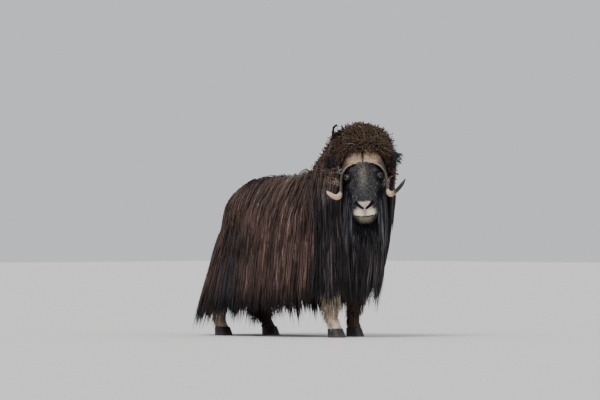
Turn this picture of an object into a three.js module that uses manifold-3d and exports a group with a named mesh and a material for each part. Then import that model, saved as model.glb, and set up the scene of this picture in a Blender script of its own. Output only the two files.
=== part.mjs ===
// A muskox bull standing with its head turned to its right, life size, in millimetres.
// It faces -Y, its left is +X, and the soles lie on the plane Z = 0.
// Inside the model a place is given as forward, right and up from a point on the ground
// midway between the fore and hind feet. The group is moved at the end so that the
// middle of the whole outline is over the origin.
import * as THREE from "three";
import { mergeVertices } from "three/addons/utils/BufferGeometryUtils.js";
import Module from "manifold-3d";

const wasm = await Module();
wasm.setup();

// Driving dimensions
const GAP = 0.3; // between two touching parts
const CROSSING = 4; // slivers smaller than this, where locks cross, are merged
const FINE_CROSSING = 0.3; // the same, on the head
const HEM = 175; // height of the coat's hem along the flanks
const HEAD_TURN = 48; // degrees to the right of the trunk's line
const HEAD_DROP = 56; // degrees of the face below the level
const HEAD_ROLL = 3.5; // degrees, left side up
const POLL = [700, 85, 1232]; // forward, right, up: where the head's own frame starts
const NECK_PLANE = 520; // forward place where the neck meets the shoulders
const BARREL_FRONT = 215;
const BARREL_REAR = -250;
const EYE_RADIUS = 21;
const EYE = { down: 215, out: 104, front: 6 }; // in the head's own frame
const SECTION_POWER = 2.35; // 2 is an ellipse, more is squarer

// Trunk and neck out to half the depth of the coat
const TRUNK = [
  // forward, top, bottom, half width, shift to the right, coat over it, how pinched its ridge is
  [-560, 830, 690, 35, 0, 40, 0.0],
  [-520, 900, 560, 125, 0, 42, 0.05],
  [-430, 965, 470, 195, 0, 42, 0.1],
  [-300, 1018, 425, 245, 0, 40, 0.12],
  [-150, 1043, 415, 280, 0, 38, 0.15],
  [50, 1050, 410, 302, 0, 38, 0.2],
  [180, 1078, 410, 300, 0, 44, 0.35],
  [290, 1128, 410, 285, 0, 54, 0.5],
  [390, 1222, 420, 262, 0, 66, 0.52],
  [470, 1312, 440, 240, 5, 72, 0.42],
  [560, 1352, 520, 215, 5, 72, 0.22],
  [640, 1345, 620, 190, 3, 70, 0.08],
  [710, 1300, 710, 158, 5, 62, 0.04],
  [770, 1232, 800, 108, 6, 52, 0.0],
  [812, 1120, 890, 45, 0, 45, 0.0],
];
const TRUNK_SIDES = 16;

// The hanging coat is laid out along stations, each an upright plane that leaves the trunk's
// middle at a forward place and a heading (0 ahead, 90 right). Flare is how far the hem stands
// out past the trunk's widest place.
const FLANK = { rear: -300, front: 420, steps: 5, flare: 80 };
const RUMP = { axis: -300, steps: 7, flare: 205, hem: 95 };
const CHEST_RIGHT = { axis: 455, headings: [70, 46], flare: 34, hem: 235 };
const CHEST_LEFT = { axis: 455, headings: [-70, -46], flare: -55, hem: 235 };
const BIB = { axis: 570, headings: [75, 45, 15, -15, -45, -75], flare: -110, hem: 200 };
// Along, half width and thickness, as shares of the lock's own
const CURVED_LOCK = [
  [0, 0.8, 0.8],
  [0.28, 1, 1],
  [0.6, 1, 0.95],
  [0.86, 0.7, 0.75],
];
const HANGING_LOCK = [
  [0, 0.85, 0.8],
  [0.45, 1, 1],
  [0.88, 0.85, 0.8],
];
const BEARD_LOCK = [
  [0, 0.5, 0.8],
  [0.4, 1, 1],
  [0.85, 0.75, 0.8],
];
// From and to, as shares of the way from the spine to the hem
const FLANK_TIERS = [
  { from: 0.07, to: 0.5, shape: CURVED_LOCK, spread: 1.12 },
  { from: 0.31, to: 0.79, shape: CURVED_LOCK, spread: 1.15 },
  { from: 0.57, to: 1.04, shape: HANGING_LOCK, spread: 1.25 },
];
const FRONT_TIERS = [
  { from: 0.18, to: 0.6, shape: HANGING_LOCK, spread: 1.1 },
  { from: 0.42, to: 0.85, shape: HANGING_LOCK, spread: 1.15 },
  { from: 0.64, to: 1.04, shape: HANGING_LOCK, spread: 1.3 },
];
// The dense wool under the bib's locks, down to half of their length
const BIB_CORE = [
  // up, forward, right, half length, half width
  [860, 650, 10, 130, 150],
  [640, 660, 10, 95, 120],
  [420, 640, 5, 45, 60],
];

// Head under its hair, along the face from the poll
const SKULL = [
  // down the face, half width, front, back, how much narrower the front is than the back
  [-40, 100, 20, -150, 0.0],
  [0, 108, 42, -160, 0.0],
  [60, 114, 56, -168, 0.02],
  [120, 118, 60, -172, 0.05],
  [170, 119, 50, -172, 0.08],
  [214, 119, 41, -165, 0.12],
  [265, 109, 34, -152, 0.16],
  [320, 95, 29, -138, 0.16],
  [370, 86, 26, -128, 0.12],
  [412, 84, 20, -124, 0.08],
  [442, 84, 4, -124, 0.04],
  [468, 79, -21, -124, 0.02],
  [490, 66, -40, -121, 0.0],
  [508, 38, -62, -108, 0.0],
];
const SKULL_SIDES = 18;
const SKULL_POWER = 2.5;

// Each horn, from its boss at the middle of the brow, down past the eye and up to its tip
const HORN = [
  // side, down, front, half breadth, half thickness, degrees its outer face has turned to the side
  [4, 83, 56, 48, 14, 0],
  [45, 84, 56, 56, 17, 12],
  [84, 96, 44, 54, 17, 40],
  [120, 132, 16, 45, 14, 68],
  [141, 185, -6, 35, 11, 85],
  [150, 245, -16, 28, 11, 90],
  [152, 305, -12, 25, 12, 90],
  [160, 352, 8, 21, 14, 90],
  [184, 386, 42, 18, 14, 100],
  [222, 386, 84, 14, 12, 110],
  [254, 362, 110, 9, 9, 120],
  [274, 332, 122, 2, 2, 120],
];
const HORN_SIDES = 8;
// The right horn's tip is worn shorter.
const WORN_TIP = [246, 367, 104, 2, 2, 120];
const EAR = { root: [132, 46, -42], length: 112, width: 44, depth: 26 };
// The locks that hang from each cheek, the jaw and the chin
const BEARD = [
  // down the face, degrees from the face's middle, length, width
  [215, 120, 230, 120],
  [350, 143, 150, 88],
];
// The wool between the horns' bosses and the hump
const CROWN = [
  // down the face, degrees from the face's middle
  [26, 0],
  [28, 38],
  [28, -38],
  [20, 72],
  [20, -72],
];

// Each leg as forward, right of that leg's own side, up, half length, half width
const LEG_SIDES = 10;
const FORELEG = [
  [0, -20, 640, 80, 60],
  [-5, -10, 500, 72, 58],
  [0, 0, 380, 60, 54],
  [8, 0, 300, 56, 56],
  [2, 0, 240, 46, 48],
  [-4, 0, 160, 38, 42],
  [-2, 0, 115, 44, 50],
  [10, 0, 85, 44, 50],
  [22, 0, 58, 48, 54],
];
const HINDLEG = [
  [110, -40, 640, 105, 60],
  [60, -20, 500, 85, 60],
  [0, -8, 390, 58, 48],
  [-30, -4, 330, 52, 44],
  [-34, 0, 270, 42, 40],
  [-22, 0, 180, 36, 38],
  [-14, 0, 115, 42, 46],
  [0, 0, 85, 44, 48],
  [14, 0, 58, 48, 52],
];
const LEG_TOP = 640;
const LEG_FOOT = 58;
const LEG_BACKSET = 22; // the leg stands this far behind the middle of its hoof
// Where each foot stands, and how far the leg leans forward at its top
const FEET = {
  foreleg_right: { stations: FORELEG, forward: 545, right: 178, lean: -75, locks: 4 },
  foreleg_left: { stations: FORELEG, forward: 372, right: -172, lean: 95, locks: 4 },
  hindleg_right: { stations: HINDLEG, forward: -520, right: 178, lean: 40, locks: 3 },
  hindleg_left: { stations: HINDLEG, forward: -425, right: -172, lean: -60, locks: 3 },
};
const CLAW = { length: 118, width: 52, height: 60, cleft: 3 };
const TAIL = { length: 150, width: 38, thickness: 17, up: 800, back: 545 };

// Plain tools

const lerp = THREE.MathUtils.lerp;
const clamp = THREE.MathUtils.clamp;
const radians = THREE.MathUtils.degToRad;
const smooth = (t) => THREE.MathUtils.smoothstep(t, 0, 1);
const signedPower = (v, power) => Math.sign(v) * Math.abs(v) ** power;
const range = (count) => Array.from({ length: count }, (_, i) => i);
const vector = (x, y, z) => new THREE.Vector3(x, y, z);
const UP = vector(0, 0, 1);

// Forward, right and up become the model's axes.
const place = (forward, right, up) => vector(-right, -forward, up);

// Draws in -1 to 1 that come out the same each time.
function drawsFrom(seed) {
  let state = seed;
  return () => {
    state = (Math.imul(state, 1664525) + 1013904223) >>> 0;
    return state / 2 ** 31 - 1;
  };
}

// A smooth line through [place, value] pairs, level beyond its ends.
function smoothLine(pairs) {
  const last = pairs.length - 1;
  const slope = (i) => {
    const [a, b] = [pairs[Math.max(i - 1, 0)], pairs[Math.min(i + 1, last)]];
    return (b[1] - a[1]) / (b[0] - a[0]);
  };
  const [low, high] = [pairs[0][0], pairs[last][0]];
  return (x) => {
    if (x <= low) return pairs[0][1];
    if (x >= high) return pairs[last][1];
    const i = pairs.findIndex((pair) => pair[0] > x) - 1;
    const [[x0, y0], [x1, y1]] = [pairs[i], pairs[i + 1]];
    const w = x1 - x0;
    const t = (x - x0) / w;
    const swing = slope(i) * t * (1 - t) ** 2 - slope(i + 1) * t * t * (1 - t);
    return lerp(y0, y1, smooth(t)) + w * swing;
  };
}

// The columns of a table, each as a smooth line over its first column.
const linesOf = (table, names) =>
  Object.fromEntries(
    names.map((name, i) => [name, smoothLine(table.map((row) => [row[0], row[i + 1]]))]),
  );

// A solid from a three.js geometry.
function solidOf(geometry, matrix = new THREE.Matrix4()) {
  const bare = new THREE.BufferGeometry()
    .setAttribute("position", geometry.getAttribute("position").clone())
    .setIndex(geometry.index)
    .applyMatrix4(matrix);
  const merged = mergeVertices(bare, 1e-3);
  return new wasm.Manifold(
    new wasm.Mesh({
      numProp: 3,
      vertProperties: new Float32Array(merged.attributes.position.array),
      triVerts: new Uint32Array(merged.index.array),
    }),
  );
}

// A closed skin over rings of equally many points. A ring of one point is a tip.
function loft(rings) {
  const points = rings.flat();
  const starts = rings.map((_, i) => rings.slice(0, i).reduce((sum, r) => sum + r.length, 0));
  const faces = [];
  for (const i of range(rings.length - 1)) {
    const [a, b] = [rings[i], rings[i + 1]];
    const sides = Math.max(a.length, b.length);
    for (const k of range(sides)) {
      const next = (k + 1) % sides;
      const a0 = starts[i] + (a.length > 1 ? k : 0);
      const a1 = starts[i] + (a.length > 1 ? next : 0);
      const b0 = starts[i + 1] + (b.length > 1 ? k : 0);
      const b1 = starts[i + 1] + (b.length > 1 ? next : 0);
      if (a.length > 1) faces.push(a0, a1, b0);
      if (b.length > 1) faces.push(a1, b1, b0);
    }
  }
  const last = starts.at(-1);
  for (let k = 1; k < rings[0].length - 1; k++) faces.push(0, k + 1, k);
  for (let k = 1; k < rings.at(-1).length - 1; k++) faces.push(last, last + k, last + k + 1);
  const build = (order) => {
    const index = faces.map((_, i) => faces[i - (i % 3) + order[i % 3]]);
    return solidOf(new THREE.BufferGeometry().setFromPoints(points).setIndex(index));
  };
  const solid = build([0, 1, 2]);
  return solid.volume() > 0 ? solid : build([0, 2, 1]);
}

const union = (pieces) => wasm.Manifold.union(pieces);

// The largest closed surface of a solid, without scraps or sealed hollows.
const largest = (solid) =>
  solid.decompose().reduce((best, body) => (body.volume() > best.volume() ? body : best));

// Half of space, as a huge box on the far side of a plane.
const SPACE = 4000;
function beyond(point, normal) {
  const turn = new THREE.Quaternion().setFromUnitVectors(UP, normal);
  const centre = point.clone().addScaledVector(normal, SPACE / 2 - GAP / 2);
  const matrix = new THREE.Matrix4().compose(centre, turn, vector(1, 1, 1));
  return solidOf(new THREE.BoxGeometry(SPACE, SPACE, SPACE), matrix);
}
const keepBehind = (solid, point, normal) => solid.subtract(beyond(point, normal));
const keepAhead = (solid, point, normal) => solid.subtract(beyond(point, normal.clone().negate()));

// The trunk

const trunk = linesOf(TRUNK, ["top", "bottom", "half", "shift", "coat", "pinch"]);

// Middle height, half height and half width of the trunk's section, and how narrow it is at a
// height between -1 and 1.
function trunkSection(forward) {
  const [top, bottom, pinch] = [trunk.top(forward), trunk.bottom(forward), trunk.pinch(forward)];
  return {
    middle: (top + bottom) / 2,
    tall: (top - bottom) / 2,
    wide: trunk.half(forward),
    shift: trunk.shift(forward),
    narrow: (height) => 1 - pinch * Math.max(height, 0),
  };
}

// A point on the trunk at an angle from its top line, towards the right, raised by grow.
function trunkPoint(forward, angle, grow = 0) {
  const { middle, tall, wide, shift, narrow } = trunkSection(forward);
  const height = signedPower(Math.cos(angle), 2 / SECTION_POWER);
  const side = signedPower(Math.sin(angle), 2 / SECTION_POWER);
  return place(
    forward,
    shift + (wide * narrow(height) + grow) * side,
    middle + (tall + grow) * height,
  );
}

function trunkSolid(grow = 0) {
  const rings = TRUNK.map(([forward]) =>
    range(TRUNK_SIDES).map((k) => trunkPoint(forward, (2 * Math.PI * k) / TRUNK_SIDES, grow)),
  );
  for (const point of rings[0]) point.y += grow;
  for (const point of rings.at(-1)) point.y -= grow;
  return loft(rings);
}

function insideTrunk(forward, right, up) {
  if (forward < TRUNK[0][0] || forward > TRUNK.at(-1)[0]) return false;
  const { middle, tall, wide, shift, narrow } = trunkSection(forward);
  const height = (up - middle) / tall;
  const across = Math.abs((right - shift) / (wide * narrow(height))) ** SECTION_POWER;
  return across + Math.abs(height) ** SECTION_POWER < 1;
}

// The fall of the coat

// The line that the coat follows in a station's plane: over the trunk to its widest, and from
// there down to the hem. It gives the place, the way out and the way across at a share of it.
function fallLine({ forward, heading, flare, hem, step }) {
  const [c, s] = [Math.cos(radians(heading)), Math.sin(radians(heading))];
  const { shift } = trunkSection(forward);
  const middle = lerp(trunk.bottom(forward), trunk.top(forward), 0.55);
  const surface = (rise) => {
    const [level, steep] = [Math.cos(radians(rise)), Math.sin(radians(rise))];
    let [low, high] = [0, 1000];
    while (high - low > 0.5) {
      const d = (low + high) / 2;
      if (insideTrunk(forward + c * level * d, shift + s * level * d, middle + steep * d)) low = d;
      else high = d;
    }
    return [low * level, middle + low * steep];
  };
  const points = [];
  for (let rise = 87; rise > -15; rise -= 6) {
    const point = surface(rise);
    if (points.length && point[0] < points.at(-1)[0]) break;
    points.push(point);
  }
  const [widest, high] = points.at(-1);
  const drops = 10;
  for (const i of range(drops)) {
    const t = (i + 1) / drops;
    points.push([widest + flare * t ** 1.15, lerp(high, hem, t)]);
  }
  const lengths = [0];
  for (const i of range(points.length - 1)) {
    const [a, b] = [points[i], points[i + 1]];
    lengths.push(lengths[i] + Math.hypot(b[0] - a[0], b[1] - a[1]));
  }
  const at = (share) => {
    const length = share * lengths.at(-1);
    const i = clamp(lengths.findIndex((l) => l > length) - 1, 0, points.length - 2);
    const from = share >= 1 ? points.length - 2 : i;
    const t = (length - lengths[from]) / (lengths[from + 1] - lengths[from]);
    const [a, b] = [points[from], points[from + 1]];
    return [lerp(a[0], b[0], t), lerp(a[1], b[1], t)];
  };
  const across = place(s, -c, 0);
  return {
    frame(share) {
      const [out, up] = at(share);
      const [a, b] = [at(Math.max(share - 0.03, 0)), at(share + 0.03)];
      const length = Math.hypot(b[0] - a[0], b[1] - a[1]);
      const [level, rise] = [(a[1] - b[1]) / length, (b[0] - a[0]) / length];
      return {
        point: place(forward + c * out, shift + s * out, up),
        out: place(c * level, s * level, rise),
        across,
        breadth: step.degrees ? radians(step.degrees) * Math.max(out, 120) : step.length,
      };
    },
  };
}

// The stations, from the right shoulder by the rump to the left shoulder, offset by a share of
// one step so that the tiers are staggered.
function skirtStations(offset) {
  const { rear, front, steps, flare } = FLANK;
  const length = (front - rear) / steps;
  const flank = range(steps).map((i) => ({
    forward: front - length * (i + offset),
    flare: lerp(35, flare, (i + offset) / steps),
    hem: HEM,
    step: { length },
  }));
  const degrees = 180 / RUMP.steps;
  const rump = range(RUMP.steps).map((i) => {
    const turned = (i + offset) / RUMP.steps;
    const rearness = Math.sin(Math.PI * turned);
    return {
      forward: RUMP.axis,
      heading: 90 + 180 * turned,
      flare: lerp(flare, RUMP.flare, Math.sqrt(rearness)),
      hem: lerp(HEM, RUMP.hem, rearness),
      step: { degrees },
    };
  });
  return [
    ...flank.map((station) => ({ ...station, heading: 90 })),
    ...rump,
    ...flank.map((station) => ({ ...station, heading: 270 })),
  ];
}

const fanStations = ({ axis, headings, flare, hem }) =>
  headings.map((heading) => ({
    forward: axis,
    heading,
    flare,
    hem,
    step: { degrees: Math.abs(headings[0] - headings[1]) },
  }));

// Locks and clumps

// One flat, tapered lock with a ridge. frameAt gives the place, the way out and the way across
// at a share of its length. Its root is sunk, and it rises to its lift and bends to its side.
// A grown one is the room that a neighbour leaves for it.
function lockSolid(frameAt, { shape, width, thickness, sink, lift, bend = 0 }, grow = 0) {
  const away = (point, from) => point.clone().sub(from).setLength(3 * grow);
  const rings = shape.map(([t, w, d]) => {
    const { point, out, across } = frameAt(t);
    const height = lerp(-sink, lift - thickness, smooth(t * 2.4)) - grow;
    const centre = point
      .clone()
      .addScaledVector(out, height)
      .addScaledVector(across, bend * t * t);
    const side = across.clone().multiplyScalar((width * w) / 2 + 5 * grow);
    return [
      centre.clone().add(side),
      centre.clone().addScaledVector(out, thickness * d + 2 * grow),
      centre.clone().sub(side),
    ];
  });
  const { point, out, across } = frameAt(1);
  const tip = point.clone().addScaledVector(out, lift * 0.7).addScaledVector(across, bend);
  tip.add(away(tip, rings.at(-1)[1]));
  rings[0] = rings[0].map((corner, k) => corner.clone().add(away(corner, rings[1][k])));
  return loft([...rings, [tip]]);
}

// One tier of locks over its stations, alternately a little nearer and further out.
function tierOfLocks(stations, { from, to, shape, spread }, { draw, lift }) {
  return stations.map((station, i) => {
    const line = fallLine(station);
    const end = to + 0.035 * draw();
    const start = from + 0.02 * draw();
    return lockSolid((t) => line.frame(lerp(start, end, t)), {
      shape,
      width: line.frame(lerp(start, end, 0.5)).breadth * spread,
      thickness: 36,
      sink: 34,
      lift: lift(station) + (i % 2) * 9,
      bend: 16 * draw(),
    });
  });
}

// A rounded clump of wool that stands out of its root and leans over.
function clumpSolid({ root, out, along, lean }, size, height, grow = 0) {
  const sides = 5;
  const sunk = 22;
  const round = out.clone().cross(along).normalize();
  const ring = (rise, radius, shift) =>
    range(sides).map((k) => {
      const a = (2 * Math.PI * (k + 0.5)) / sides;
      return root
        .clone()
        .addScaledVector(out, rise)
        .addScaledVector(lean, shift)
        .addScaledVector(along, (radius + 2 * grow) * Math.cos(a))
        .addScaledVector(round, (radius + 2 * grow) * Math.sin(a));
    });
  const tip = root.clone().addScaledVector(out, height + 2 * grow).addScaledVector(lean, size * 0.5);
  return loft([
    ring(-sunk - grow, size * 0.42, 0),
    ring(height * 0.5, size * 0.56, size * 0.1),
    ring(height * 0.88 + grow, size * 0.34, size * 0.3),
    [tip],
  ]);
}

// Rows of clumps over the hump, which lean back and down the lie of the coat.
function humpClumps(draw) {
  const rows = [360, 465, 568, 665, 745];
  const size = 124;
  const step = 0.02;
  const clump = (forward, angle) => {
    const root = trunkPoint(forward, angle);
    const along = trunkPoint(forward + 8, angle).sub(trunkPoint(forward - 8, angle)).normalize();
    const round = trunkPoint(forward, angle + step)
      .sub(trunkPoint(forward, angle - step))
      .normalize();
    const out = round.clone().cross(along).normalize();
    const side = Math.sign(Math.sin(angle)) + 0.5 * draw();
    const lean = round.multiplyScalar(side).addScaledVector(along, -0.7).normalize();
    return clumpSolid({ root, out, along, lean }, size, trunk.coat(forward) * (1 + 0.12 * draw()));
  };
  return rows.flatMap((forward, row) => {
    const reach = lerp(62, 50, row / (rows.length - 1));
    const around = radians(reach) * (trunk.half(forward) + 60);
    const count = Math.max(2, Math.round((2 * around) / (size * 0.97)));
    return range(count).map((i) => {
      const share = (i + 0.5 + 0.25 * (row % 2 ? 1 : -1)) / count;
      const angle = radians(lerp(-reach, reach, clamp(share, 0.04, 0.96)));
      return clump(forward + 10 * draw(), angle);
    });
  });
}

// Short locks along the spine, one over the next, from the hump to the rump.
function spineLocks(draw) {
  const length = 225;
  const starts = [320, 190, 60, -70, -200, -325];
  return starts.map((start) => {
    const frameAt = (t) => {
      const forward = start - length * t;
      const slope = (trunk.top(forward + 5) - trunk.top(forward - 5)) / 10;
      const out = place(-slope, 0, 1).normalize();
      return { point: place(forward, 0, trunk.top(forward)), out, across: place(0, 1, 0) };
    };
    const lift = 0.8 * trunk.coat(start - length * 0.5);
    const sizes = { shape: HANGING_LOCK, width: 165, thickness: 32, sink: 34, lift };
    return lockSolid(frameAt, { ...sizes, bend: 14 * draw() });
  });
}

// The wool that the skirt's lower locks grow from: a wall from the trunk to half way down.
function innerCurtain() {
  const outside = [0.48, 0.78];
  const inside = [0.78, 0.48];
  const rings = skirtStations(0).sort((a, b) => {
    const along = ({ heading, forward }) =>
      heading === 90 ? -forward : heading === 270 ? 9000 + forward : 4000 + heading;
    return along(a) - along(b);
  });
  return loft(
    rings.map((station) => {
      const line = fallLine(station);
      const at = (share, depth) => {
        const { point, out } = line.frame(share);
        return point.clone().addScaledVector(out, -depth);
      };
      return [...outside.map((share) => at(share, 4)), ...inside.map((share) => at(share, 52))];
    }),
  );
}

// The wool under the bib.
function bibCore() {
  const sides = 10;
  const rings = BIB_CORE.map(([up, forward, right, long, wide]) =>
    range(sides).map((k) => {
      const a = (2 * Math.PI * k) / sides;
      return place(forward + long * Math.cos(a), right + wide * Math.sin(a), up);
    }),
  );
  return loft(rings);
}

function coatSolid() {
  const draw = drawsFrom(11);
  const skirt = FLANK_TIERS.flatMap((tier, i) =>
    tierOfLocks(skirtStations(i % 2 ? 0.5 : 0), tier, {
      draw,
      lift: ({ forward }) => Math.min(trunk.coat(forward), 56) - 3 * i,
    }),
  );
  const chest = [CHEST_RIGHT, CHEST_LEFT].flatMap((fan) =>
    FRONT_TIERS.flatMap((tier) => tierOfLocks(fanStations(fan), tier, { draw, lift: () => 46 })),
  );
  const between = BIB.headings.slice(1).map((heading, i) => (heading + BIB.headings[i]) / 2);
  const bib = FRONT_TIERS.flatMap((tier, i) => {
    const fan = { ...BIB, headings: i % 2 ? between : BIB.headings };
    return tierOfLocks(fanStations(fan), tier, { draw, lift: () => 48 });
  });
  const coat = union([
    trunkSolid(),
    innerCurtain(),
    bibCore(),
    ...skirt,
    ...chest,
    ...bib,
    ...humpClumps(draw),
    ...spineLocks(draw),
  ]);
  return coat.simplify(CROSSING);
}

// The head

const skull = linesOf(SKULL, ["half", "front", "back", "narrow"]);
const HEADING = place(Math.cos(radians(HEAD_TURN)), Math.sin(radians(HEAD_TURN)), 0);

// The head's own frame: its left, down the face, and out in front of it.
const headMatrix = (() => {
  const [c, s] = [Math.cos(radians(HEAD_DROP)), Math.sin(radians(HEAD_DROP))];
  const down = HEADING.clone().multiplyScalar(c).addScaledVector(UP, -s);
  const front = HEADING.clone().multiplyScalar(s).addScaledVector(UP, c);
  const left = front.clone().cross(down);
  const roll = new THREE.Matrix4().makeRotationAxis(HEADING, radians(HEAD_ROLL));
  const basis = new THREE.Matrix4().makeBasis(left, down, front);
  return new THREE.Matrix4().setPosition(place(...POLL)).multiply(roll).multiply(basis);
})();
const inHead = (left, down, front) => vector(left, down, front).applyMatrix4(headMatrix);
const headToBody = (solid) => solid.transform([...headMatrix.elements]);

// A point of the head's skin down the face, at an angle from the face's middle to its left.
function skullPoint(down, angle, grow = 0) {
  const middle = (skull.front(down) + skull.back(down)) / 2;
  const deep = (skull.front(down) - skull.back(down)) / 2 + grow;
  const wide = skull.half(down) + grow;
  const rise = signedPower(Math.cos(angle), 2 / SKULL_POWER);
  const side = signedPower(Math.sin(angle), 2 / SKULL_POWER);
  return vector(wide * (1 - skull.narrow(down) * rise) * side, down, middle + deep * rise);
}

function skullSolid(grow = 0) {
  const rings = SKULL.map(([down]) =>
    range(SKULL_SIDES).map((k) => skullPoint(down, (2 * Math.PI * k) / SKULL_SIDES, grow)),
  );
  for (const point of rings[0]) point.y -= grow;
  for (const point of rings.at(-1)) point.y += grow;
  return loft(rings);
}

// An egg in the head's own frame.
function egg(centre, radii, turn = [0, 0, 0], detail = [10, 8]) {
  const matrix = new THREE.Matrix4().compose(
    vector(...centre),
    new THREE.Quaternion().setFromEuler(new THREE.Euler(...turn.map(radians))),
    vector(...radii),
  );
  return solidOf(new THREE.SphereGeometry(1, ...detail), matrix);
}

function hornSolid(side, grow = 0) {
  const rows = side > 0 ? HORN : [...HORN.slice(0, -2), WORN_TIP];
  const points = rows.map((row) => vector(row[0], row[1], row[2]));
  const rings = rows.map(([, , , breadth, thick, turned], i) => {
    const tangent = points[Math.min(i + 1, points.length - 1)]
      .clone()
      .sub(points[Math.max(i - 1, 0)])
      .normalize();
    const out = vector(Math.sin(radians(turned)), 0, Math.cos(radians(turned)));
    out.addScaledVector(tangent, -out.dot(tangent)).normalize();
    const broad = tangent.clone().cross(out);
    const inward = i === 0 ? grow : 0;
    return range(HORN_SIDES).map((k) => {
      const a = (2 * Math.PI * k) / HORN_SIDES;
      const point = points[i]
        .clone()
        .addScaledVector(broad, (breadth + grow) * Math.cos(a))
        .addScaledVector(out, (thick + grow) * Math.sin(a));
      return vector((point.x - inward) * side, point.y, point.z);
    });
  });
  return loft(rings);
}

// Each ear is a shell with a deep cup that opens ahead.
function earSolid(side, grow = 0) {
  const [left, down, front] = EAR.root;
  const half = EAR.length / 2;
  const shell = egg(
    [side * (left + half - 10), down - 6, front + 4],
    [half + grow, EAR.width + grow, EAR.depth + grow],
    [0, 0, side * -8],
    [10, 8],
  );
  if (grow) return shell;
  const cup = egg(
    [side * (left + half + 6), down - 6, front + 4 + EAR.depth * 0.75],
    [half * 0.8, EAR.width * 0.72, EAR.depth * 0.9],
    [0, side * -6, side * -8],
    [10, 6],
  );
  return shell.subtract(cup);
}

function eyeSolid(side, grow = 0) {
  const r = EYE_RADIUS + grow;
  return egg([side * EYE.out, EYE.down, EYE.front], [r, r, r]);
}

// Lids: a dome over the eye, open in an almond that looks out and a little ahead.
function lidSolid(side) {
  const dome = egg([side * (EYE.out + 1), EYE.down, EYE.front - 1], [26, 26, 26]);
  const almond = egg(
    [side * (EYE.out + 22), EYE.down + 1, EYE.front + 12],
    [30, 13, 24],
    [0, side * 35, side * 8],
    [10, 8],
  );
  return dome.subtract(almond);
}

// Nostrils: two slanting commas, deeper at their upper end.
function nostrilSolid(side) {
  const upper = egg([side * 44, 428, 2], [17, 10, 20], [20, 0, side * 24], [8, 6]);
  const lower = egg([side * 26, 447, -10], [7, 17, 18], [30, 0, side * 40], [8, 6]);
  return upper.add(lower);
}

// The line of the mouth: a thin slit round the muzzle, under the upper lip.
function mouthSolid() {
  const slit = 3;
  const depth = 10;
  const matrix = new THREE.Matrix4().compose(
    vector(0, 445, -74),
    new THREE.Quaternion().setFromEuler(new THREE.Euler(radians(32), 0, 0)),
    vector(1, 1, 1),
  );
  const plate = solidOf(new THREE.BoxGeometry(260, 150, slit), matrix);
  return plate.subtract(skullSolid(-depth));
}

// Hair from the cheeks, jaw and chin hangs straight down, whatever the head's tilt.
function beardLocks(grow = 0) {
  const draw = drawsFrom(5);
  return [1, -1].flatMap((side) =>
    BEARD.map(([down, degrees, length, width]) => {
      const angle = side * radians(degrees);
      const root = skullPoint(down, angle).applyMatrix4(headMatrix);
      const core = inHead(0, down, (skull.front(down) + skull.back(down)) / 2);
      const out = root.clone().sub(core).setZ(0).normalize();
      const across = UP.clone().cross(out);
      const rise = 25;
      const frameAt = (t) => ({
        point: root.clone().addScaledVector(UP, rise - length * t),
        out,
        across,
      });
      const sizes = { shape: BEARD_LOCK, width, thickness: 28, sink: 30, lift: 24 };
      return lockSolid(frameAt, { ...sizes, bend: 12 * draw() }, grow);
    }),
  );
}

function crownClumps(grow = 0) {
  return CROWN.map(([down, degrees]) => {
    const root = skullPoint(down, radians(degrees));
    const out = vector(Math.sin(radians(degrees)), -0.3, Math.cos(radians(degrees))).normalize();
    const along = vector(0, 1, 0).addScaledVector(out, -out.y).normalize();
    const lean = vector(Math.sin(radians(degrees)), -1, 0).normalize();
    return clumpSolid({ root, out, along, lean }, 112, 42, grow);
  });
}

function headSolid() {
  const muzzle = union([mouthSolid(), nostrilSolid(1), nostrilSolid(-1)]);
  const pieces = [skullSolid(), lidSolid(1), lidSolid(-1), ...crownClumps()];
  const face = union(pieces).subtract(muzzle).simplify(FINE_CROSSING);
  const seats = [1, -1].flatMap((side) => [
    eyeSolid(side, GAP),
    hornSolid(side, 2 * GAP),
    earSolid(side, GAP),
  ]);
  return union([headToBody(face), ...beardLocks()]).subtract(headToBody(union(seats)));
}

// The room that the neck leaves for the head and all that it carries.
function headRoom() {
  const solids = [1, -1].flatMap((side) => [
    hornSolid(side, 2 * GAP),
    earSolid(side, 2 * GAP),
    egg([side * (EYE.out + 1), EYE.down, EYE.front - 1], [27, 27, 27], [0, 0, 0], [8, 6]),
  ]);
  const loose = 3 * GAP;
  const head = union([skullSolid(loose), ...crownClumps(loose), ...solids]);
  return union([headToBody(head), ...beardLocks(loose)]);
}

// Legs, hooves and tail

const legLean = (lean, up) => lean * ((up - LEG_FOOT) / (LEG_TOP - LEG_FOOT)) - LEG_BACKSET;

function legSolid({ stations, forward, right, lean }, grow = 0) {
  const side = Math.sign(right);
  const rings = stations.map(([along, out, up, long, wide]) =>
    range(LEG_SIDES).map((k) => {
      const a = (2 * Math.PI * k) / LEG_SIDES;
      return place(
        forward + along + legLean(lean, up) + (long + grow) * Math.cos(a),
        right + side * out + (wide + grow) * Math.sin(a),
        up,
      );
    }),
  );
  return loft(rings);
}

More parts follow.
